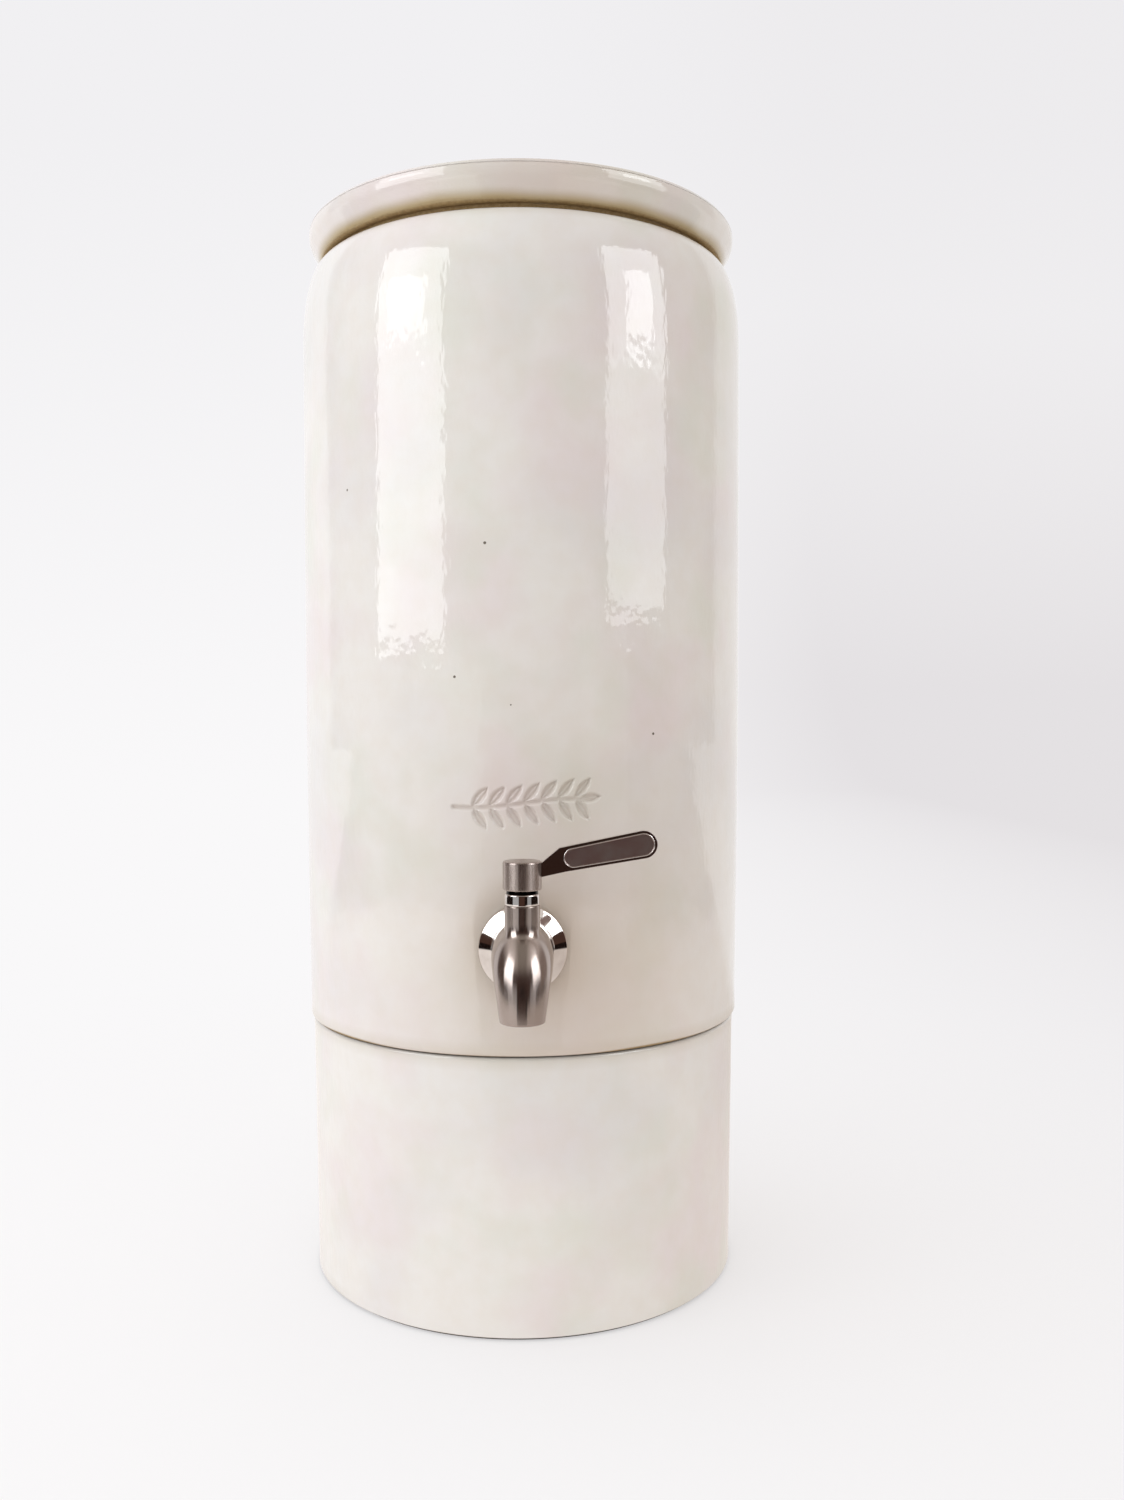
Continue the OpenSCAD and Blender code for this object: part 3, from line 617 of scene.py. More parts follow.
class FilterStage(bpy.types.PropertyGroup):
    """Camera, lamps and backdrop."""

    camera_distance: mm("Camera distance", "From the vessel's axis", 548.9)
    camera_aside: mm("Camera aside", "To the right of the vessel's axis", 2.5)
    camera_height: mm("Camera height", "Above the floor", 228.6)
    camera_pitch: degrees("Camera pitch", "Downward tilt", 1.82)
    camera_yaw: degrees("Camera yaw", "Turn to the right", 1.44)
    camera_roll: degrees("Camera roll", "Turn about the line of sight", -0.12)
    lens: number("Lens", "Focal length in millimetres on a 36 mm high frame", 31.2)
    ambient: number("Ambient light", "Brightness of the surroundings", 1.1)
    slant: fraction("Light slant", "How much more light comes from the upper left", 0.38)
    light_left: srgb("Light from the left", "Tint of the light from the left", "#edf6ff")
    light_right: srgb("Light from the right", "Tint of the light from the right", "#fff8ef")
    backdrop: srgb("Backdrop", "Backdrop and floor as seen", "#f9f8f9")
    backdrop_high: srgb("Upper backdrop", "Its colour higher up", "#f1f0f2")
    backdrop_shade: srgb("Backdrop's shaded side", "Its colour on the right", "#e4e1e3")
    ceiling: srgb("Ceiling", "What the object mirrors overhead", "#aaa49c")
    ceiling_side: srgb("Ceiling's sides", "What it mirrors overhead, to both sides", "#efe9e5")
    dark: srgb("Dark room", "What the front of the object mirrors", "#4a342c")
    darkest: srgb("Darkest place", "What it mirrors straight in front", "#1b110e")
    side_left: srgb("Left wall", "What it mirrors beside it on the left", "#6e5f59")
    side_right: srgb("Right wall", "What it mirrors beside it on the right", "#a89a93")
    paper: srgb("Paper", "The floor's own colour", "#eae5e2")
    paper_left: srgb("Lit paper", "Floor as the object mirrors it on the left", "#fffaf6")
    paper_right: srgb("Shaded paper", "Floor as the object mirrors it on the right", "#d9cfc8")
    paper_glow: srgb("Paper glow", "Light of the room that the floor sends on", "#fdfcfb")
    lamp_tint: srgb("Lamp tint", "Colour of the softboxes", "#f6fbff")
    lamp_distance: mm("Lamp distance", "Softboxes from the vessel's axis", 700)


# ---------------------------------------------------------------- pieces


class WATER_FILTER_OT_stand(bpy.types.Operator):
    """Build the glazed ring stand"""

    bl_idname = "water_filter.stand"
    bl_label = "Ring Stand"

    def execute(self, context):
        v = in_mm(context.scene.filter_vessel)
        top = v.seat_height
        r_top = v.crock_radius - v.crock_taper - 1.2
        r_foot, bore = r_top - 1.3, r_top - v.stand_wall
        profile = rounded_line(
            [(bore, 0, 0.8), (r_foot - 1.7, 0, 0.3), (r_foot - 1.4, 0.8, 0.3), (r_foot, 1.2, 0.5),
             (r_top, top, 1.9), (bore, top, 0.9)], 4, closed=True)
        r, z, a = spread(profile, turn_angles(288))
        outer = ease(r, bore + 1, r_foot - 1) * bump_between(z, 5, top - 6, 4)
        uneven = v.unevenness * outer * (clay_waves(a, z, 4) - 1)
        stand = skin("stand_body", spin(r + uneven, z, a), ring_rows=True)
        wander = waver(a, (0.3, 3, 1), (0.2, 7, 0))
        foot = 1 - ease(z + 0.6 * wander, 0.7, 1.5)
        seat = ease(z, top - 0.5, top - 0.1) * (1 - ease(r + wander, r_top - 4.5, r_top - 3.5))
        paint(stand, "bare", np.maximum(foot, seat))
        # Painted shade in the seam above and along the foot, on the outside only
        low_line = (1 - ease(z, 0.9, 1.5)) * ease(r, r_foot - 3.5, r_foot - 2)
        seam = ease(z, top - 0.55, top - 0.15) * ease(r, r_top - 2.6, r_top - 1.8)
        paint(stand, "seam_shade", np.maximum(low_line, seam))
        # Two places where the glaze was wiped
        lumps = sum(
            bell(np.hypot((wrapped(a) - side) * r_top, z - up), 5)
            for side, up in ((-0.36, 87), (0.9, 67)))
        paint(stand, "lumps", 0.5 * lumps)
        paint(stand, "thin", 0.16 * bump_between(z + wander, top - 3, top, 1.6))
        finish_piece(stand, "stand", "stand", "stoneware")
        return {"FINISHED"}


def sprig(along, up, size):
    """Pressed depth of a leaf sprig, 0 to 1, at a distance along and up from its middle. It is
    drawn 56 mm long, and size scales it. The stem is a slow S. Each leaf is pointed: its half width
    is its greatest half width times one less the square of the share along it, and its sides ease
    over a soft edge. A rib stands along each leaf's middle."""
    a, h = along / size * 56, up / size * 56

    def sway(x):
        """Height of the stem, a slow sine."""
        return 1.5 * np.sin(x / 11.5)

    deepest = 0.85 * ease(0.75 - np.abs(h - sway(a)), -0.35, 0.35) * bump_between(a, -25, 22, 1.2)
    # Each leaf: its middle along and up, its slope in degrees and half its length
    leaves = [
        (x + 2.6, sway(x) + side * 3.9, side * 52 - 3, 4.6)
        for x in np.arange(-18, 20, 6.2) for side in (-1, 1)]
    for x, y, slope, half in [*leaves, (24.6, sway(22) + 0.4, 6, 4.2)]:
        c, s = math.cos(math.radians(slope)), math.sin(math.radians(slope))
        u, w = (a - x) * c + (h - y) * s, (h - y) * c - (a - x) * s
        width = 1.75 * (1 - np.clip(u / half, -1, 1) ** 2)
        leaf = ease(width - np.abs(w), -0.3, 0.55) * (np.abs(u) < half)
        rib = 0.4 * bell(w, 0.28) * ease(width, 0.5, 1.2)
        deepest = np.maximum(deepest, leaf * (1 - rib))
    return deepest


class WATER_FILTER_OT_crock(bpy.types.Operator):
    """Build the glazed crock with its pressed leaf sprig and the seat for the tap"""

    bl_idname = "water_filter.crock"
    bl_label = "Crock"

    def execute(self, context):
        v = in_mm(context.scene.filter_vessel)
        wide, rim, seat = v.crock_radius, v.rim_height, v.seat_height
        foot, inside, rim_r = wide - v.crock_taper, wide - v.crock_wall, wide - v.shoulder_in
        mouth, throat, ledge, floor = rim_r - 4.5, rim_r - 10.5, rim - 9.2, seat + 10
        spigot = foot - 1.2 - v.stand_wall - 1.7
        low_band, high_band = v.ornament_height - 13, v.ornament_height + 13
        base_top, shoulder_z = seat + v.belly_height * 0.6, rim - v.shoulder_drop

        base = rounded_line(
            [(0, seat, 0), (spigot - 7, seat, 0.6), (spigot - 7, seat - 5, 1),
             (spigot, seat - 5, 1), (spigot, seat, 0.6), (foot, seat, 1.8),
             (foot + v.crock_taper * 0.6, base_top, 0)], 4)
        # The full width is reached on a very slow curve, so that no crease shows in the gloss
        side_z = np.concatenate([
            np.arange(base_top, low_band, 4)[1:],
            np.arange(low_band, high_band, 0.4),
            np.arange(high_band, shoulder_z, 4)])
        rise = (side_z - seat) / v.belly_height
        swell = 1 - (1 - np.clip(rise / 1.4, 0, 1)) ** 1.6
        swell = np.maximum(swell, 0.6 * np.clip(rise, 0, 1))
        side = np.stack([foot + v.crock_taper * swell, side_z], 1)
        shoulder = oval_line(
            (rim_r, shoulder_z), (v.shoulder_in, v.shoulder_drop - 0.8), 0, 84, 22)
        top = rounded_line(
            [(*shoulder[-1], 0), (rim_r - 2.6, rim, 1.4), (mouth, rim, 0.8), (mouth, ledge, 0.8),
             (throat, ledge, 1.2), (throat, ledge - 6, 1.2),
             (inside, ledge - 6 - (inside - throat), 6), (inside, floor, 9), (0, floor, 0)], 5)
        profile = np.vstack([base, side, shoulder, top[1:]])[1:-1]
        row = np.arange(len(profile))[:, None]
        outer = (row < len(base) + len(side) + len(shoulder) - 3) * 1.0

        r, z, a = spread(profile, turn_angles(130, math.radians(19.4), 0.4 / wide))
        around = wrapped(a)
        still = bump_between(z, seat + 5, rim - 6, 6)
        r = r + v.unevenness * outer * still * (clay_waves(a, z, 9) - 1)
        mark = sprig(around * wide, z - v.ornament_height, v.ornament_length) * outer
        r = r - v.ornament_depth * mark

        # Flat seat for the tap's flange outside, flat pad inside, eased into the wall
        tap_low, tap_high = box_of("flange_washer")
        tap_z = (tap_low[2] + tap_high[2]) / 2
        x, y = r * np.sin(a), -r * np.cos(a)
        reach = np.hypot(x, z - tap_z)
        ahead = np.abs(around) < math.pi / 2
        front = ahead * outer
        y = y + (1 - ease(reach, 16.6, 23)) * front * (np.maximum(y, tap_high[1]) - y)
        inner = (1 - outer) * ahead * (np.abs(z - tap_z) < 24) * (r > inside - 1)
        pad_y = box_of("inner_washer")[0][1]
        y = y + (1 - ease(reach, 15.3, 17)) * inner * (np.maximum(y, pad_y) - y)
        crock = skin("crock_body", np.stack([x, y, z], -1), poles=((0, 0, seat), (0, 0, floor)))

        wander = waver(a, (0.35, 4, 2), (0.2, 9, 0))
        under = (1 - ease(z + wander, seat + 0.3, seat + 1.1)) * (row < len(base))
        lip = ease(z, rim - 0.5, rim - 0.15) * (r + wander < rim_r - 1)
        paint(crock, "bare", np.maximum(under, lip))
        # Painted shade in the seam on the stand, on the outside only
        seam = (1 - ease(z, seat + 0.15, seat + 0.6)) * outer
        paint(crock, "seam_shade", seam * ease(r, foot - 2.9, foot - 2.1))
        low_edge = 0.2 * bump_between(z + wander, seat + 1.5, seat + 2.5, 1.5)
        high_edge = 0.12 * bump_between(z, rim - 2, rim, 3)
        paint(crock, "thin", np.maximum(low_edge, high_edge) * outer)
        # Painted shade: a warmer, darker patch low on the front, kept with the glaze gathered in the
        # sprig
        low_front_shade = bell(around - 0.2, 0.62) * bell(z - 130, 80) * outer
        paint(crock, "pool_and_shade", np.maximum(0.35 * mark, 0.48 * low_front_shade))
        # Painted ochre shade round the flange, partly a real discolouring of the glaze, strongest to
        # the right of the neck
        beside = bell(np.hypot(x - 9, z - tap_z - 12), 9)
        paint(crock, "stain_and_shade", np.maximum(0.22 * bell(reach - 16, 8), 0.36 * beside) * front)
        # Lumps where the glaze was wiped, halfway up
        right = bump_between(z, 250, 288, 12) * bell(around - 0.42, 0.14)
        left = bump_between(z, 250, 262, 8) * bell(around + 0.45, 0.14)
        paint(crock, "lumps", (right + 0.55 * left) * outer)

        hole_r, near, far = 8.4, 70, 100
        hole = np.array([(0, near), (hole_r, near), (hole_r, far), (0, far)])
        combine(crock, turned("drill", hole, turn_angles(64), lying=tap_z), "DIFFERENCE")
        crock.data.set_sharp_from_angle(angle=math.radians(60))
        finish_piece(crock, "crock", "crock", "stoneware")
        return {"FINISHED"}


class WATER_FILTER_OT_lid(bpy.types.Operator):
    """Build the lid with its rounded edge, gentle dome and unglazed underside"""

    bl_idname = "water_filter.lid"
    bl_label = "Lid"

    def execute(self, context):
        v = in_mm(context.scene.filter_vessel)
        rim, wide, rim_r = v.rim_height, v.lid_radius, v.crock_radius - v.shoulder_in
        low_z, top_z, hollow = rim + 1.3, rim + 15, rim + 6
        bend_r, bend_z = wide + 0.33, top_z - 3.9
        low_r = bend_r - (bend_z - low_z) * math.tan(v.lid_lean)
        seat_in, seat_out, collar = rim_r - 4.2, rim_r - 3.2, rim_r - 19.2
        line = rounded_line(
            [(0, hollow, 0), (collar - 5, hollow, 1.5), (collar - 5, rim - 8, 1.2),
             (collar, rim - 8, 1.2), (collar, hollow, 1.5), (seat_in, hollow, 1),
             (seat_in, rim, 0.3), (seat_out, rim, 0.3), (seat_out + 0.5, low_z + 0.6, 0.5),
             (low_r - 0.2, low_z, 2.2), (bend_r, bend_z, 7), (wide - 0.37, top_z + 0.1, 2),
             (wide - 10.2, top_z + 0.75, 0)], 1)
        first_edge = np.argmax((line[:, 1] >= low_z + 0.6) & (line[:, 0] > low_r))
        # The dome rises to the CAD's top as one less the square of the share of its radius
        inwards = np.linspace(1, 0, 40)[:, None]
        dome_r, dome_z = line[-1]
        rise = (box_of("lid")[1][2] - dome_z) * (1 - inwards**2)
        line = np.vstack([line, np.hstack([dome_r * inwards, dome_z + rise])[1:]])

        r0, z, a = spread(line[1:-1], turn_angles(288))
        outer = ease(r0, rim_r - 1, rim_r + 3) * (z > low_z - 0.5)
        upper = ease(z, top_z - 4, top_z)
        r = r0 + v.unevenness * outer * (clay_waves(a, r0, 21) - 1)
        z = z + v.unevenness * 0.7 * upper * (clay_waves(a, 3 * r0, 5) - 1)
        poles = ((0, 0, hollow), (0, 0, line[-1, 1] - v.unevenness * 0.7))
        lid = skin("lid_body", spin(r, z, a), poles=poles)
        wander = waver(a, (0.3, 3, 0), (0.25, 8, 1), (0.12, 21, 0))
        is_under = (np.arange(len(r)) < first_edge + 3)[:, None]
        paint(lid, "bare", (1 - ease(z + 0.6 * wander, low_z + 0.5, low_z + 1.6)) * is_under)
        # The glaze runs thin towards the lower edge, and the clay shows through it
        thin = (1 - ease(z + wander, low_z + 0.9, low_z + 5.2)) * (r > rim_r - 2)
        paint(lid, "thin", thin)
        # Painted shade on the lid's side: darkest in front, lighter to both sides
        paint(lid, "pool_and_shade", (0.05 + 0.3 * bell(wrapped(a) - 0.15, 0.45)) * outer)
        finish_piece(lid, "lid", "lid", "stoneware")
        return {"FINISHED"}


class WATER_FILTER_OT_insert(bpy.types.Operator):
    """Build the glazed insert that hangs in the crock's mouth"""

    bl_idname = "water_filter.insert"
    bl_label = "Insert"

    def execute(self, context):
        low, high = box_of("upper_reservoir")
        low_z, top, flange_r = low[2], high[2], high[0]
        wall_r, bore_r, hole = flange_r - 6.1, flange_r - 11.6, 6.4
        flange_z, floor_z = top - 5.5, low_z + 6
        profile = rounded_line(
            [(hole, low_z, 0.6), (wall_r, low_z, 9), (wall_r, flange_z, 0.8),
             (flange_r, flange_z, 1.2), (flange_r, top, 1.4), (bore_r, top, 1.4),
             (bore_r, floor_z, 4.5), (hole, floor_z, 0.6)], 4, closed=True)
        r, z, a = spread(profile, turn_angles(224))
        outer = bump_between(z, low_z + 8, flange_z - 6, 6) * (r > wall_r - 1)
        uneven = 0.12 * outer * (clay_waves(a, z, 31) - 1)
        insert = skin("insert_body", spin(r + uneven, z, a), ring_rows=True)
        wander = waver(a, (0.3, 5, 0))
        paint(insert, "bare", (1 - ease(z + wander, low_z + 0.3, low_z + 1)) * (r > 40))
        paint(insert, "thin", 0.2 * bump_between(z, top - 1.2, top, 1.2))
        finish_piece(insert, "insert", "upper_reservoir", "stoneware")
        return {"FINISHED"}


class WATER_FILTER_OT_tap_body(bpy.types.Operator):
    """Build the tap's body: bulb and spout in one sweep, the neck with its flare, and the shank"""

    bl_idname = "water_filter.tap_body"
    bl_label = "Tap Body"

    def execute(self, context):
        tap = in_mm(context.scene.filter_tap)
        washer_low, washer_high = box_of("flange_washer")
        tap_z = (washer_low[2] + washer_high[2]) / 2
        body_low, body_high = box_of("tap_body")
        front, stem = -box_of("tap_flange")[0][1], axis_of("bonnet_ring")
        spout_y, mouth_z, neck_top = stem + 10, body_low[2], body_high[2]
        # The sweep's line in Y and Z; the bulb is widest at 0.42 of it, and the lip begins at 0.985
        curve = [
            (4 - front, tap_z), (-front - 19, tap_z + 6.5), (-spout_y, mouth_z + 20),
            (-spout_y, mouth_z)]
        widest, lip_at = 0.42, 0.985

        def radius(t):
            """Swells by a sine to the bulb and narrows by a cosine to the mouth."""
            swell = np.sin(np.pi / 2 * np.clip(t / widest, 0, 1))
            narrow = 1 - np.cos(np.pi / 2 * np.clip((t - widest) / (1 - widest), 0, 1))
            to_bulb = tap.barrel_radius + (tap.bulb_radius - tap.barrel_radius) * swell
            to_mouth = tap.bulb_radius + (tap.spout_radius - tap.bulb_radius) * narrow
            return np.where(t < widest, to_bulb, to_mouth)

        def rings(t, a):
            """Rings of the sweep: centre + radius (cos a X + sin a N), N square to the line. The
            first rings stand upright and turn square to the line over 0.12 of it."""
            line, way = bezier(curve, t)
            level = ease(t, start, start + 0.12)[:, None]
            way = way * level + np.array([-1, 0]) * (1 - level)
            way = way / np.linalg.norm(way, axis=1, keepdims=True)
            normal = np.stack([0 * t, way[:, 1], -way[:, 0]], 1)[:, None, :]
            centre = np.stack([0 * t, line[:, 0], line[:, 1]], 1)[:, None, :]
            cos, sin = np.cos(a)[None, :, None], np.sin(a)[None, :, None]
            return centre + radius(t)[:, None, None] * (np.array([1, 0, 0]) * cos + normal * sin)

        trial = np.linspace(0, 0.3, 3001)
        start = trial[np.argmin(np.abs(bezier(curve, trial)[0][:, 0] + front))]
        a = turn_angles(128)
        sweep = rings(np.linspace(start, lip_at, 130), a)
        # Rounded lip and bore, turned about the spout's axis
        end_r, end_z = radius(np.array([lip_at]))[0], bezier(curve, [lip_at])[0][0, 1]
        bore_top = mouth_z + 8.5
        lip = rounded_line(
            [(end_r, end_z, 0), (tap.spout_radius, mouth_z, 0.45), (tap.bore_radius, mouth_z, 0.45),
             (tap.bore_radius, bore_top, 0)], 1.5)[1:]
        r, z, a = spread(lip, a)
        lip_grid = np.stack([r * np.cos(a), -r * np.sin(a) - spout_y, z], -1)
        poles = (sweep[0].mean(0), (0, -spout_y, bore_top))
        body = skin("tap_body_shell", np.concatenate([sweep, lip_grid]), poles=poles)

        # Height of the bulb under a ring round the neck
        around = turn_angles(96)
        fine = np.linspace(start, 0.9, 3000)
        line, way = bezier(curve, fine)
        wide = radius(fine)

        def bulb_height(r):
            """Height of the sweep's upper side under each angle of a ring, smoothed round it."""
            r = (r + 0 * around)[:, None]
            x, y = r * np.sin(around)[:, None], -stem - r * np.cos(around)[:, None]
            lift = np.sqrt(np.maximum(wide**2 - x**2, 0))
            there = line[:, 0] + lift * way[:, 1]
            up = line[:, 1] - lift * way[:, 0]
            at = np.argmin(np.abs(there - y) + (up < tap_z) * 1000, axis=1)
            waves = np.fft.rfft(up[np.arange(len(around)), at])
            waves[14:] = 0
            return np.fft.irfft(waves, len(around))

        # The flare is a curve from the bulb, towards the corner, and up along the neck. It is wide
        # in front, where the bulb falls away, and narrow at the sides
        neck_r = tap.neck_radius
        flare = tap.flare * (0.18 + 0.82 * ease(np.cos(around), 0.1, 0.95))
        foot, corner = bulb_height(neck_r + flare), bulb_height(neck_r)
        above = corner + 1.75 * flare
        s = np.linspace(0, 1, 13)[:, None]
        flare_r = (1 - s) ** 2 * (neck_r + flare) + (1 - (1 - s) ** 2) * neck_r
        flare_z = (1 - s) ** 2 * (foot - 0.03) + 2 * s * (1 - s) * corner + s * s * above
        wall_z = above + (neck_top - 0.4 - above) * np.linspace(0, 1, 11)[1:, None]
        top = rounded_line(
            [(neck_r, neck_top - 0.4, 0), (neck_r, neck_top, 0.35), (4, neck_top, 0)], 1)[1:]
        rows = [
            (neck_r - 2, tap_z), (neck_r + flare - 0.4, foot - 1.2), *zip(flare_r, flare_z),
            *((neck_r, height) for height in wall_z), *top]
        neck = np.stack([spin(r + 0 * around, z + 0 * around, around) for r, z in rows])
        neck = neck + np.array([0, -stem, 0])
        neck = skin("neck", neck, poles=((0, -stem, tap_z), (0, -stem, neck_top)))
        combine(body, neck, "UNION")

        # Threaded shank: 1.5 mm pitch, drawn as rings
        end = -body_high[1]
        shank = np.vstack([
            [(0, end + 24), (4, end + 24), (4, end + 0.4), (4.4, end), (7.2, end)],
            ridged_line(8, 0.75, 1.5, end, end + 1, front - 12, 0.25),
            [(8, front - 11.8), (8, front + 2), (0, front + 2)]])
        combine(body, turned("shank", shank, turn_angles(96), lying=tap_z), "UNION")
        body.data.shade_smooth()
        body.data.set_sharp_from_angle(angle=math.radians(38))
        finish_piece(body, "crock", "tap_body", "satin")
        return {"FINISHED"}


class WATER_FILTER_OT_tap_trims(bpy.types.Operator):
    """Build the tap's flange, bonnet ring and cap"""

    bl_idname = "water_filter.tap_trims"
    bl_label = "Flange, Ring and Cap"

    def execute(self, context):
        low, high = box_of("tap_flange")
        back, front, tap_z = -high[1], -low[1], (low[2] + high[2]) / 2
        rim_r, bore, collar = high[0], 8.05, 11.2
        flange = rounded_line(
            [(bore, back, 0.3), (rim_r - 0.2, back, 0.15), (rim_r, back + 0.5, 0.5),
             (rim_r - 0.35, back + 1.5, 0.5), (collar, back + 4.4, 0.35), (collar, front, 0.4),
             (bore, front, 0.2)], 0.8, closed=True)
        piece = turned("tap_flange_plate", flange, turn_angles(160), ring=True, lying=tap_z)
        finish_piece(piece, "crock", "tap_flange", "polished")

        # The ring reaches up to a narrow groove under the cap, where a boss shows
        low, high = box_of("bonnet_ring")
        cap_low, cap_high = box_of("handle_cap")
        stem, bottom, neck_top = axis_of("bonnet_ring"), low[2], low[2] + 1.75
        ring_r, spigot, bore, boss = high[0], 4.5, 3.05, 5.3
        top, boss_top = high[2] + 0.6, cap_low[2] - 0.05
        ring = rounded_line(
            [(bore, bottom, 0.2), (spigot, bottom, 0.2), (spigot, neck_top, 0.2),
             (ring_r, neck_top, 0.35), (ring_r, top, 0.55), (boss, top, 0.1), (boss, boss_top, 0.1),
             (bore, boss_top, 0.1)], 0.6, closed=True)
        angles = turn_angles(128)
        piece = turned("bonnet_collar", ring, angles, ring=True, ahead=stem)
        # Painted shade: the groove under the cap is painted near black
        r, z, _ = spread(ring, angles)
        paint(piece, "sunk", ((z > top - 0.02) & (r < ring_r - 0.5)) * 1.0)
        finish_piece(piece, "crock", "bonnet_ring", "polished")

        cap_r, bottom, top, socket = cap_high[0], cap_low[2], cap_high[2], cap_low[2] + 8.2
        cap = rounded_line(
            [(0, socket, 0), (bore, socket, 0.3), (bore, bottom, 0.3), (cap_r, bottom, 0.5),
             (cap_r, top, 0.7), (0, top, 0)], 0.8)
        piece = turned("lever_cap", cap, angles, ahead=stem)
        finish_piece(piece, "handle", "handle_cap", "turned")
        return {"FINISHED"}


def smooth_loop(path, step, blur):
    """Points step apart round a closed line, averaged with a bell curve of width blur so that its
    corners are rounded."""
    fine = cut_line(path, step, closed=True)
    waves = np.fft.fft(fine[:, 0] + 1j * fine[:, 1])
    spacing = np.linalg.norm(np.roll(fine, -1, 0) - fine, axis=1).mean()
    turns = np.fft.fftfreq(len(fine), spacing)
    soft = np.fft.ifft(waves * np.exp(-2 * (np.pi * blur * turns) ** 2))
    return np.stack([soft.real, soft.imag], 1)


def inset(loop, distance):
    """Moves a closed anticlockwise loop inwards, square to its own direction."""
    way = np.roll(loop, -1, 0) - np.roll(loop, 1, 0)
    way = way / np.linalg.norm(way, axis=1, keepdims=True)
    return loop + distance * np.stack([-way[:, 1], way[:, 0]], 1)


class WATER_FILTER_OT_lever(bpy.types.Operator):
    """Build the lever: a flared neck and a round-ended paddle with a sunk panel on each face"""

    bl_idname = "water_filter.lever"
    bl_label = "Lever"

    def execute(self, context):
        tap = in_mm(context.scene.filter_tap)
        cap_high = box_of("handle_cap")[1]
        stem, inner_x, centre_z = axis_of("handle_cap"), cap_high[0] - 0.7, cap_high[2] - 3.2
        half, start, lift = tap.lever_thickness / 2, 13.2, 1.1
        c, s = math.cos(tap.lever_rise), math.sin(tap.lever_rise)
        root_r, tip_r, neck, border = 4.15, 4.7, 2.3, 0.95
        tip_u, panel_r = 45.8 - start - tip_r, root_r - border

        def on_paddle(*parts):
            """From distances along and across the paddle to X and height in the lever's plane."""
            points = np.vstack(parts)
            u, w = points[:, 0] + start / c, points[:, 1] + lift
            return np.stack([u * c - w * s, u * s + w * c + centre_z], 1)

        tip = oval_line((tip_u, 0), (tip_r, tip_r), -90, 90, 40)
        outline = np.vstack([
            [(inner_x, centre_z - neck)], on_paddle([(1, -root_r)], tip, [(0, root_r)]),
            [(inner_x, centre_z + neck)]])
        outline = smooth_loop(outline, 0.3, 0.22)
        outline[:, 0] = np.maximum(outline[:, 0], inner_x)
        panel_tip = (tip_r - border,) * 2
        panel = on_paddle(
            oval_line((border + panel_r, 0), (panel_r, panel_r), 90, 270, 48),
            oval_line((tip_u, 0), panel_tip, -90, 90, 48))
        panel = cut_line(panel, 0.5, closed=True)

        # Each face has a rounded edge, the flat border, a fine raised lip and the sunk panel. Each
        # ring has its distance inwards, its height over the face, and 1 or 0 for being part of the
        # panel and of the border
        edge = [(0, -0.3, 0, 0), (0.02, -0.14, 0, 0), (0.07, -0.04, 0, 1), (0.15, 0, 0, 1),
                (0.2, 0, 0, 1)]
        lip = [(-0.12, 0, 0, 1), (-0.06, 0, 0, 1), (-0.02, 0.05, 0, 0), (0.05, 0.09, 0, 0),
               (0.12, 0.09, 0, 0), (0.19, 0.05, 0, 0), (0.24, -0.05, 0, 0), (0.28, -0.22, 1, 0),
               (0.34, -0.3, 1, 0), (0.45, -0.3, 1, 0), (0.6, -0.3, 1, 0)]
        points, faces, sunk, level = [], [], [], []

        def bridge(first, second, count, flip):
            """Quads between two rings, given by their first points."""
            j = np.arange(count)
            k = (j + 1) % count
            quads = np.stack([first + j, first + k, second + k, second + j], -1)
            faces.append(quads[:, ::-1] if flip else quads)

        def band(line, rings, side):
            """Rings inset from a line and the strips between them. Gives each ring and the number
            of its first point."""
            made = []
            for distance, height, is_panel, is_border in rings:
                loop = inset(line, distance)
                place = [loop[:, 0], 0 * loop[:, 0] + side * (half + height) - stem, loop[:, 1]]
                made.append((loop, sum(map(len, points))))
                points.append(np.stack(place, 1))
                sunk.append(np.full(len(loop), is_panel))
                level.append(np.full(len(loop), is_border))
            for (loop, first), (_, second) in zip(made, made[1:]):
                bridge(first, second, len(loop), side > 0)
            return made

        def fill(rings, side):
            """Triangles over a flat area between rings."""
            cut = tessellate_polygon([[(*p, 0.0) for p in loop.tolist()] for loop, _ in rings])
            index = np.concatenate([np.arange(len(loop)) + first for loop, first in rings])
            tri = index[np.array(cut)]
            flat = np.vstack(points)[tri][..., [0, 2]]
            area = np.cross(flat[:, 1] - flat[:, 0], flat[:, 2] - flat[:, 0])
            tri = np.where((area < 0)[:, None], tri[:, ::-1], tri)
            faces.append(tri[:, ::-1] if side > 0 else tri)

        middles = []
        for side in (-1, 1):
            edge_rings, lip_rings = band(outline, edge, side), band(panel, lip, side)
            fill([edge_rings[-1], lip_rings[0]], side)
            fill([lip_rings[-1]], side)
            middles.append(edge_rings[0][1])
        bridge(middles[1], middles[0], len(outline), False)
        lever = mesh_object("lever_paddle", np.vstack(points), faces)
        paint(lever, "panel", np.concatenate(sunk))
        # The flat border is painted darker, as shade
        paint(lever, "flat", np.concatenate(level))
        finish_piece(lever, "handle", "lever", "lever")
        return {"FINISHED"}


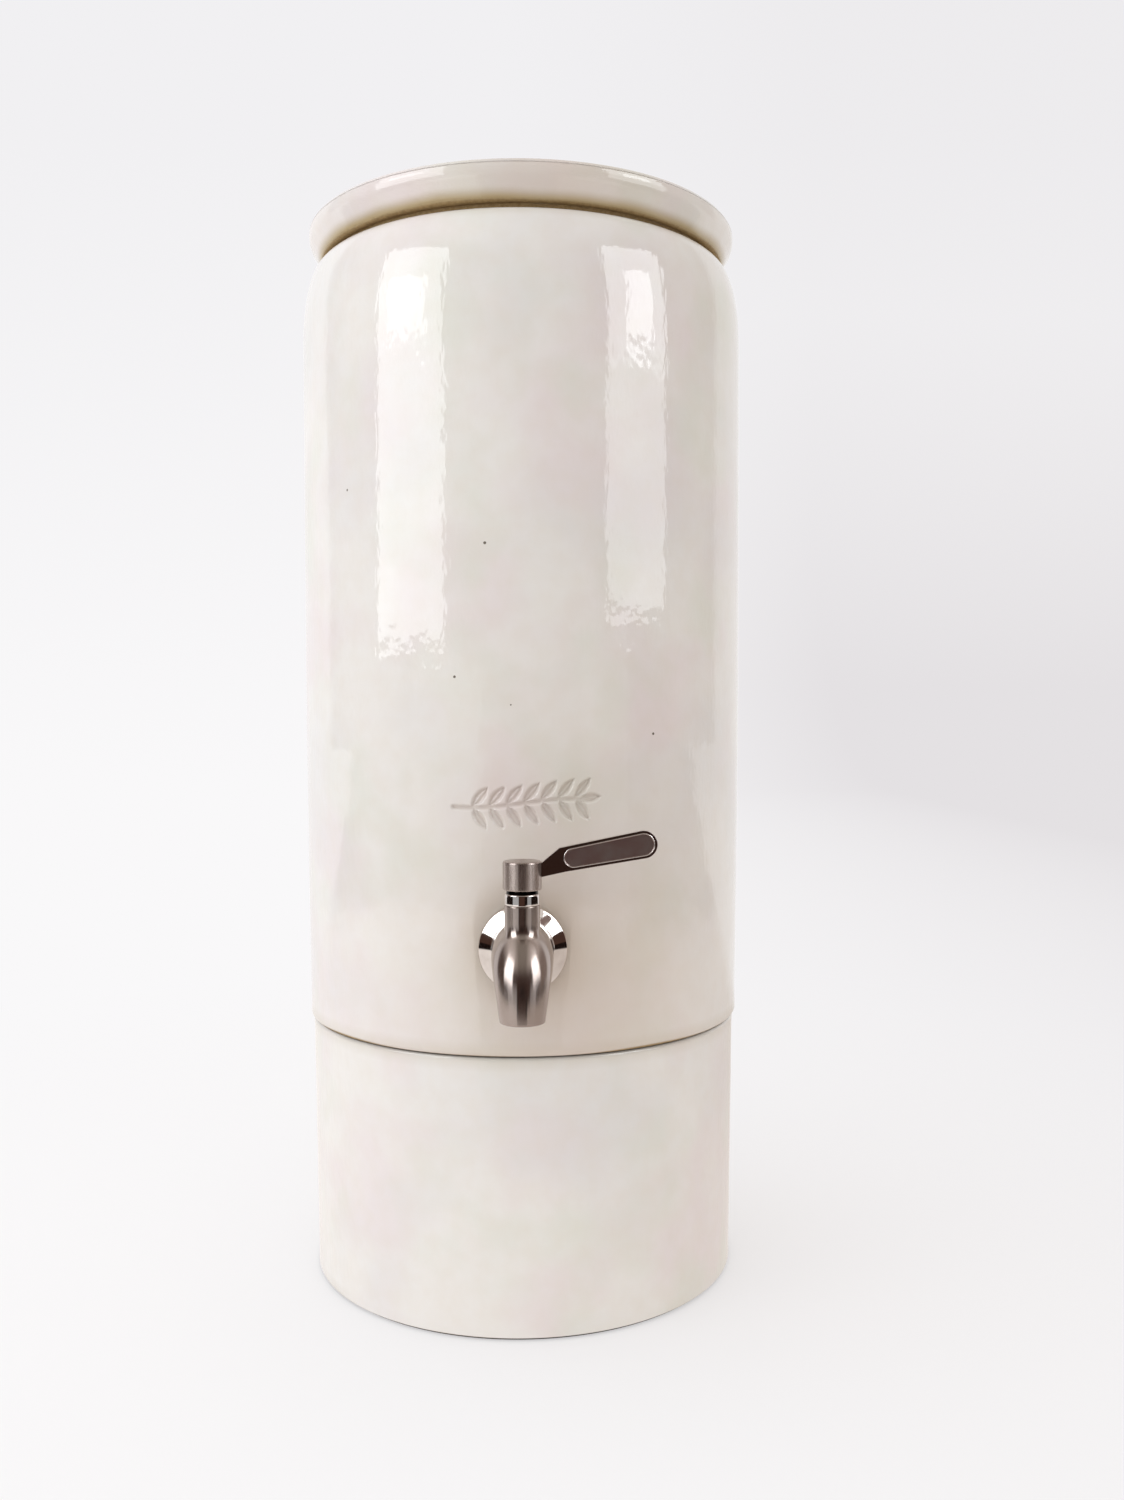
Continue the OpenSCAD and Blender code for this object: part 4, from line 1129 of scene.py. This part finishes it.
class WATER_FILTER_OT_candle(bpy.types.Operator):
    """Build the candle's ceramic shell, its moulded base and the wing nut"""

    bl_idname = "water_filter.candle"
    bl_label = "Filter Candle"

    def execute(self, context):
        low, high = box_of("candle_shell")
        shell_r, bottom, dome_z = high[0], low[2], high[2] - high[0]
        inside = shell_r - 8
        outer = oval_line((0, dome_z), (shell_r, shell_r), 0, 90, 30)
        inner = oval_line((0, dome_z), (inside, inside), 90, 0, 30)
        outer[-1, 0] = inner[0, 0] = 0
        profile = np.vstack([
            inner,
            cut_line(np.array([(inside, dome_z), (inside, bottom + 0.5)]), 4)[1:],
            rounded_line(
                [(inside, bottom + 0.4, 0), (inside + 0.4, bottom, 0), (shell_r - 0.5, bottom, 0),
                 (shell_r, bottom + 0.5, 0), (shell_r, dome_z, 0)], 4),
            outer[1:]])
        angles = turn_angles(128)
        shell = turned("candle_ceramic", profile, angles)
        finish_piece(shell, "insert", "candle_shell", "ceramic")

        low, high = box_of("candle_base")
        base_r, bottom, top = high[0], low[2], high[2]
        plate, seat, cup = top - 6.5, top - 10.5, shell_r + 0.05
        stem, bore = 6, 3.2
        profile = np.vstack([
            [(bore, bottom), (stem - 0.6, bottom)],
            ridged_line(stem, 0.55, 1.75, bottom, bottom + 0.8, seat - 2, 0.3),
            rounded_line(
                [(stem, seat - 1.5, 0), (stem, seat, 0.5), (base_r, seat, 1), (base_r, top, 0.7),
                 (cup, top, 0.4), (cup, plate, 0.5), (10, plate, 0.4), (10, plate - 2, 0.4),
                 (bore, plate - 2, 0.3), (bore, bottom, 0)], 3)[:-1]])
        base = turned("candle_foot", profile, angles, ring=True)
        finish_piece(base, "insert", "candle_base", "plastic")

        # Wing nut: at each angle a soft maximum of a round hub and a flat bar. The wings hang 2 mm
        # below the hub and end 1 mm under its top
        low, high = box_of("wing_nut")
        bottom, top, reach = low[2] + 2, high[2], high[0]
        hub, half_bar, bore = 9.5, 2, 6.05
        rows = rounded_line(
            [(bore, bottom, 0), (hub, bottom, 0.8), (hub, top, 0.8), (bore, top, 0)], 1)
        r, z, a = spread(rows, turn_angles(240))
        bar = ((np.abs(np.sin(a)) / reach) ** 8 + (np.abs(np.cos(a)) / half_bar) ** 8) ** (-1 / 8)
        full = (hub**12 + bar**12) ** (1 / 12)
        outwards = (r - bore) / (hub - bore)
        wing = ease(full, hub + 0.3, hub + 3) * outwards
        z = z - wing * (2 - (z - bottom) / (top - bottom))
        r = bore + outwards * (full - bore)
        nut = skin("wing_nut_body", spin(r, z, a), ring_rows=True)
        finish_piece(nut, "insert", "wing_nut", "plastic")
        return {"FINISHED"}


class WATER_FILTER_OT_inner_parts(bpy.types.Operator):
    """Give the seals, nuts, valve parts and carbon core their materials"""

    bl_idname = "water_filter.inner_parts"
    bl_label = "Seals and Inner Parts"

    def execute(self, context):
        finishes = {
            "silicone": ["flange_washer", "inner_washer", "inlet_seat", "seat_ring",
                         "candle_gasket", "under_washer"],
            "plain": ["backing_washer", "lock_nut", "valve_plug"],
            "rubber": ["plug_o_rings"],
            "plastic": ["slip_washer", "core_screen"],
            "carbon": ["carbon_core"],
        }
        for finish, nodes in finishes.items():
            for node in nodes:
                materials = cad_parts[node].data.materials
                materials.clear()
                materials.append(material_of(finish))
        return {"FINISHED"}


# ----------------------------------------------------------------- stage

# Softboxes: two azimuths from -Y towards +X in degrees, how much nearer each stands than the lamp
# distance, two heights in metres, the radiance, and whether it lights everything or is seen in
# gloss only. They are the two windows, their bright parts, and two pale cards low down.
LAMPS = {
    "left_softbox": (-73.2, -36.7, 0.0, 0.279, 0.84, 1.55, True),
    "left_gloss": (-73.2, -36.7, 0.01, 0.279, 0.84, 2.1, False),
    "right_gloss": (40.3, 72.8, 0.0, 0.303, 0.85, 2.9, False),
    "left_core": (-67.0, -46.0, 0.02, 0.525, 0.64, 3.0, False),
    "right_core": (50.0, 64.5, 0.02, 0.52, 0.68, 4.2, False),
    "right_upper": (41.0, 72.0, 0.01, 0.52, 0.85, 1.3, False),
    "left_card": (-54.0, -19.0, 0.01, 0.02, 0.27, 0.5, False),
    "right_card": (28.0, 51.0, 0.01, 0.02, 0.29, 0.4, False),
}


def softbox(name, first, last, distance, low, high, radiance, lights_all):
    """An upright soft lamp that faces the vessel between two azimuths and two heights. Its power is
    its radiance times pi times its area. One that doesn't light all is seen in gloss only."""
    data = bpy.data.lights.new(name, "AREA")
    azimuth = math.radians(first + last) / 2
    width, tall = 2 * distance * math.tan(math.radians(last - first) / 2), high - low
    data.shape, data.size, data.size_y = "RECTANGLE", width, tall
    data.energy = radiance * math.pi * width * tall
    data.color = linear(bpy.context.scene.filter_stage.lamp_tint)[:3]
    lamp = bpy.data.objects.new(name, data)
    bpy.context.scene.collection.objects.link(lamp)
    middle = (distance * math.sin(azimuth), -distance * math.cos(azimuth), (low + high) / 2)
    upright = Matrix.Rotation(math.pi / 2, 4, "X")
    lamp.matrix_world = Matrix.Translation(middle) @ Matrix.Rotation(azimuth, 4, "Z") @ upright
    lamp.visible_camera = False
    lamp.visible_diffuse = lights_all


def seen_rays(tree):
    """1 for rays from the camera, off mirrors or through glass, and 0 for the rest."""
    path = add(tree, "LightPath").node.outputs
    seen = path["Is Camera Ray"]
    for ray in ("Is Glossy Ray", "Is Transmission Ray"):
        seen = add(tree, "Math", seen, path[ray], operation="MAXIMUM")
    return seen


def surroundings(stage):
    """World light. The camera sees the backdrop's colour, a little darker higher up. Mirrors see it
    behind the object, a ceiling above it that is lighter to both sides, walls beside it, and a dark
    room in front of it that is darkest straight ahead. Everything else gets an even light that is a
    little stronger from the upper left."""
    world = bpy.data.worlds.new("surroundings")
    world.use_nodes = True
    tree = world.node_tree
    tree.nodes.clear()
    way = add(tree, "TexCoord", out="Generated")
    x, y, z = add(tree, "SeparateXYZ", way).node.outputs
    ahead = add(tree, "MapRange", y, -0.94, -0.985)
    room = add(tree, "Mix", ahead, stage.dark, stage.darkest, data_type="RGBA")
    left = add(tree, "MapRange", x, 0.0, -0.1)
    walls = add(tree, "Mix", left, stage.side_right, stage.side_left, data_type="RGBA")
    aside = add(tree, "Math", x, operation="ABSOLUTE")
    aside = add(tree, "MapRange", aside, 0.22, 0.42)
    ceiling = add(tree, "Mix", aside, stage.ceiling, stage.ceiling_side, data_type="RGBA")
    for part, low, high, shown in (
        (y, -0.28, -0.1, walls), (z, 0.5, 0.75, ceiling), (y, 0.42, 0.5, stage.backdrop),
    ):
        share = add(tree, "MapRange", part, low, high)
        room = add(tree, "Mix", share, room, shown, data_type="RGBA")
    up = add(tree, "MapRange", z, 0.0, 0.4)
    wall = add(tree, "Mix", up, stage.backdrop, stage.backdrop_high, data_type="RGBA")
    camera = add(tree, "LightPath", out="Is Camera Ray")
    seen = add(tree, "Mix", camera, room, wall, data_type="RGBA")
    side = add(tree, "VectorMath", way, (-0.7, 0.24, 0.6), operation="DOT_PRODUCT")
    side = add(tree, "MapRange", side, -1, 1)
    light = add(tree, "Mix", side, stage.light_right, stage.light_left, data_type="RGBA")
    weak, strong = stage.ambient * (1 - stage.slant), stage.ambient * (1 + stage.slant)
    level = add(tree, "MapRange", side, 0, 1, weak, strong)
    light = add(tree, "VectorMath", light, level, operation="SCALE")
    light = add(tree, "Mix", seen_rays(tree), light, seen, data_type="RGBA")
    add(tree, "OutputWorld", add(tree, "Background", light))
    bpy.context.scene.world = world


def paper_material(stage):
    """Matt paper. Near the object it is lit and keeps the soft shadow; far from it the camera and
    mirrors see its plain pale colour. Mirrors see the paper end in front and at the sides, where
    the dark room begins, and a painted shadow on it straight in front."""
    material, tree, place = new_material("PaperSweep")
    x, y, z = add(tree, "SeparateXYZ", place).node.outputs
    far = add(tree, "VectorMath", place, operation="LENGTH")
    ahead = add(tree, "Math", y, -1.0, -0.12, operation="MULTIPLY_ADD")
    slope = add(tree, "Math", x, ahead, operation="DIVIDE")
    beyond = mask(tree, (far, 0.85, 1.0), (y, 0.5, 0.35))
    # A painted shadow on the paper straight in front, seen only in mirrors
    patch = mask(tree, (y, -0.38, -0.46), (slope, -0.52, -0.45), (slope, 0.45, 0.38))
    dim = add(tree, "Math", beyond, patch, operation="MAXIMUM")
    middle = mask(tree, (slope, -0.4, -0.3), (slope, 0.33, 0.23))
    dark = add(tree, "Mix", middle, stage.darkest, stage.dark, data_type="RGBA")
    right = add(tree, "MapRange", x, -0.15, 0.25)
    paper = add(tree, "Mix", right, stage.paper_left, stage.paper_right, data_type="RGBA")
    near = add(tree, "MapRange", y, 0.5, 0.35)
    mirrored = add(tree, "Mix", near, stage.backdrop, paper, data_type="RGBA")
    mirrored = add(tree, "Mix", dim, mirrored, dark, data_type="RGBA")

    # What the camera sees far away is shaded on the right
    up = add(tree, "MapRange", z, 0.0, 2.2)
    shown = add(tree, "Mix", up, stage.backdrop, stage.backdrop_high, data_type="RGBA")
    shade = mask(
        tree, (x, -0.1, 1.0), (z, 0.3, 1.6, 1.0, 0.3), (y, -0.5, 0.0), (x, 2.4, 4.0, 1.0, 0.0))
    shown = add(tree, "Mix", shade, shown, stage.backdrop_shade, data_type="RGBA")
    camera = add(tree, "LightPath", out="Is Camera Ray")
    colour = add(tree, "Mix", camera, mirrored, shown, data_type="RGBA")
    glow = add(tree, "Emission", colour, 1.0)
    kept = add(tree, "MapRange", far, 0.12, 0.6, 0.55, 1.0)
    kept = add(tree, "Mix", camera, 1.0, kept)
    kept = add(tree, "Math", seen_rays(tree), kept, operation="MULTIPLY")

    # The paper's light on the object: its own shade, and some of the room's light that it sends on
    matt = {"Base Color": stage.paper, "Roughness": 0.9, "Specular IOR Level": 0.1}
    matt = add(tree, "BsdfPrincipled", inputs=matt)
    lit = add(tree, "Emission", stage.paper_glow, 1.5)
    lit = add(tree, "MixShader", 0.33, matt, lit)
    end = mask(tree, (y, -0.25, -0.5, 0.0, 0.35), (x, -0.5, 0.1, 0.6, 1.0))
    lit = add(tree, "MixShader", end, lit)
    plain = add(tree, "MixShader", camera, lit, matt)
    add(tree, "OutputMaterial", add(tree, "MixShader", kept, plain, glow))
    return material


def backdrop_and_floor(stage):
    """A floor that curves up into a backdrop far behind the object: flat, then a quarter circle,
    then upright. It is extruded along X."""
    half, back, lift, bend = 6000, 4000, 5000, 1000
    a = np.linspace(0, math.pi / 2, 24)
    curve = np.stack([back - bend + bend * np.sin(a), bend - bend * np.cos(a)], 1)
    line = np.vstack([[(-half, 0)], curve, [(back, lift)]])
    ends = np.array([[-half, half]])
    grid = np.stack(np.broadcast_arrays(ends, line[:, :1], line[:, 1:]), -1)
    i = 2 * np.arange(len(line) - 1)
    quads = np.stack([i, i + 1, i + 3, i + 2], -1)
    sweep = mesh_object("paper_sweep", grid.reshape(-1, 3), [quads])
    sweep.data.materials.append(paper_material(stage))


class WATER_FILTER_OT_stage(bpy.types.Operator):
    """Set up the camera, the softboxes, the surroundings and the pale floor"""

    bl_idname = "water_filter.stage"
    bl_label = "Stage"

    def execute(self, context):
        scene = context.scene
        stage = scene.filter_stage
        data = bpy.data.cameras.new("camera")
        data.sensor_fit, data.sensor_height, data.lens = "VERTICAL", 36.0, stage.lens
        data.clip_start, data.clip_end = 0.01, 50.0
        camera = bpy.data.objects.new("camera", data)
        scene.collection.objects.link(camera)
        spot = (stage.camera_aside, -stage.camera_distance, stage.camera_height)
        camera.matrix_world = (
            Matrix.Translation(spot)
            @ Matrix.Rotation(-stage.camera_yaw, 4, "Z")
            @ Matrix.Rotation(math.pi / 2 - stage.camera_pitch, 4, "X")
            @ Matrix.Rotation(stage.camera_roll, 4, "Z"))
        scene.camera = camera
        for name, (first, last, nearer, *rest) in LAMPS.items():
            softbox(name, first, last, stage.lamp_distance - nearer, *rest)
        backdrop_and_floor(stage)
        surroundings(stage)
        scene.view_settings.view_transform = "Standard"
        return {"FINISHED"}


class WATER_FILTER_PT_panel(bpy.types.Panel):
    """Lists the steps that build the water filter"""

    bl_idname = "WATER_FILTER_PT_panel"
    bl_label = "Water Filter"
    bl_space_type = "VIEW_3D"
    bl_region_type = "UI"
    bl_category = "Water Filter"

    def draw(self, context):
        for step in STEPS:
            self.layout.operator(step.bl_idname)
        for group, kind in SETTINGS.items():
            for key in kind.__annotations__:
                self.layout.prop(getattr(context.scene, group), key)


STEPS = [
    WATER_FILTER_OT_stand,
    WATER_FILTER_OT_crock,
    WATER_FILTER_OT_lid,
    WATER_FILTER_OT_insert,
    WATER_FILTER_OT_tap_body,
    WATER_FILTER_OT_tap_trims,
    WATER_FILTER_OT_lever,
    WATER_FILTER_OT_candle,
    WATER_FILTER_OT_inner_parts,
    WATER_FILTER_OT_stage,
]
SETTINGS = {
    "filter_vessel": FilterVessel,
    "filter_glaze": FilterGlaze,
    "filter_colours": FilterColours,
    "filter_tap": FilterTap,
    "filter_stage": FilterStage,
}


def register():
    """Registers the settings, the steps and the panel."""
    for kind in [*SETTINGS.values(), *STEPS, WATER_FILTER_PT_panel]:
        bpy.utils.register_class(kind)
    for name, kind in SETTINGS.items():
        setattr(bpy.types.Scene, name, bpy.props.PointerProperty(type=kind))


def unregister():
    """Removes what register added."""
    for name in SETTINGS:
        delattr(bpy.types.Scene, name)
    for kind in [WATER_FILTER_PT_panel, *STEPS[::-1], *SETTINGS.values()]:
        bpy.utils.unregister_class(kind)


def main():
    register()
    for step in STEPS:
        getattr(bpy.ops.water_filter, step.bl_idname.split(".")[1])()


if __name__ == "__main__":
    main()
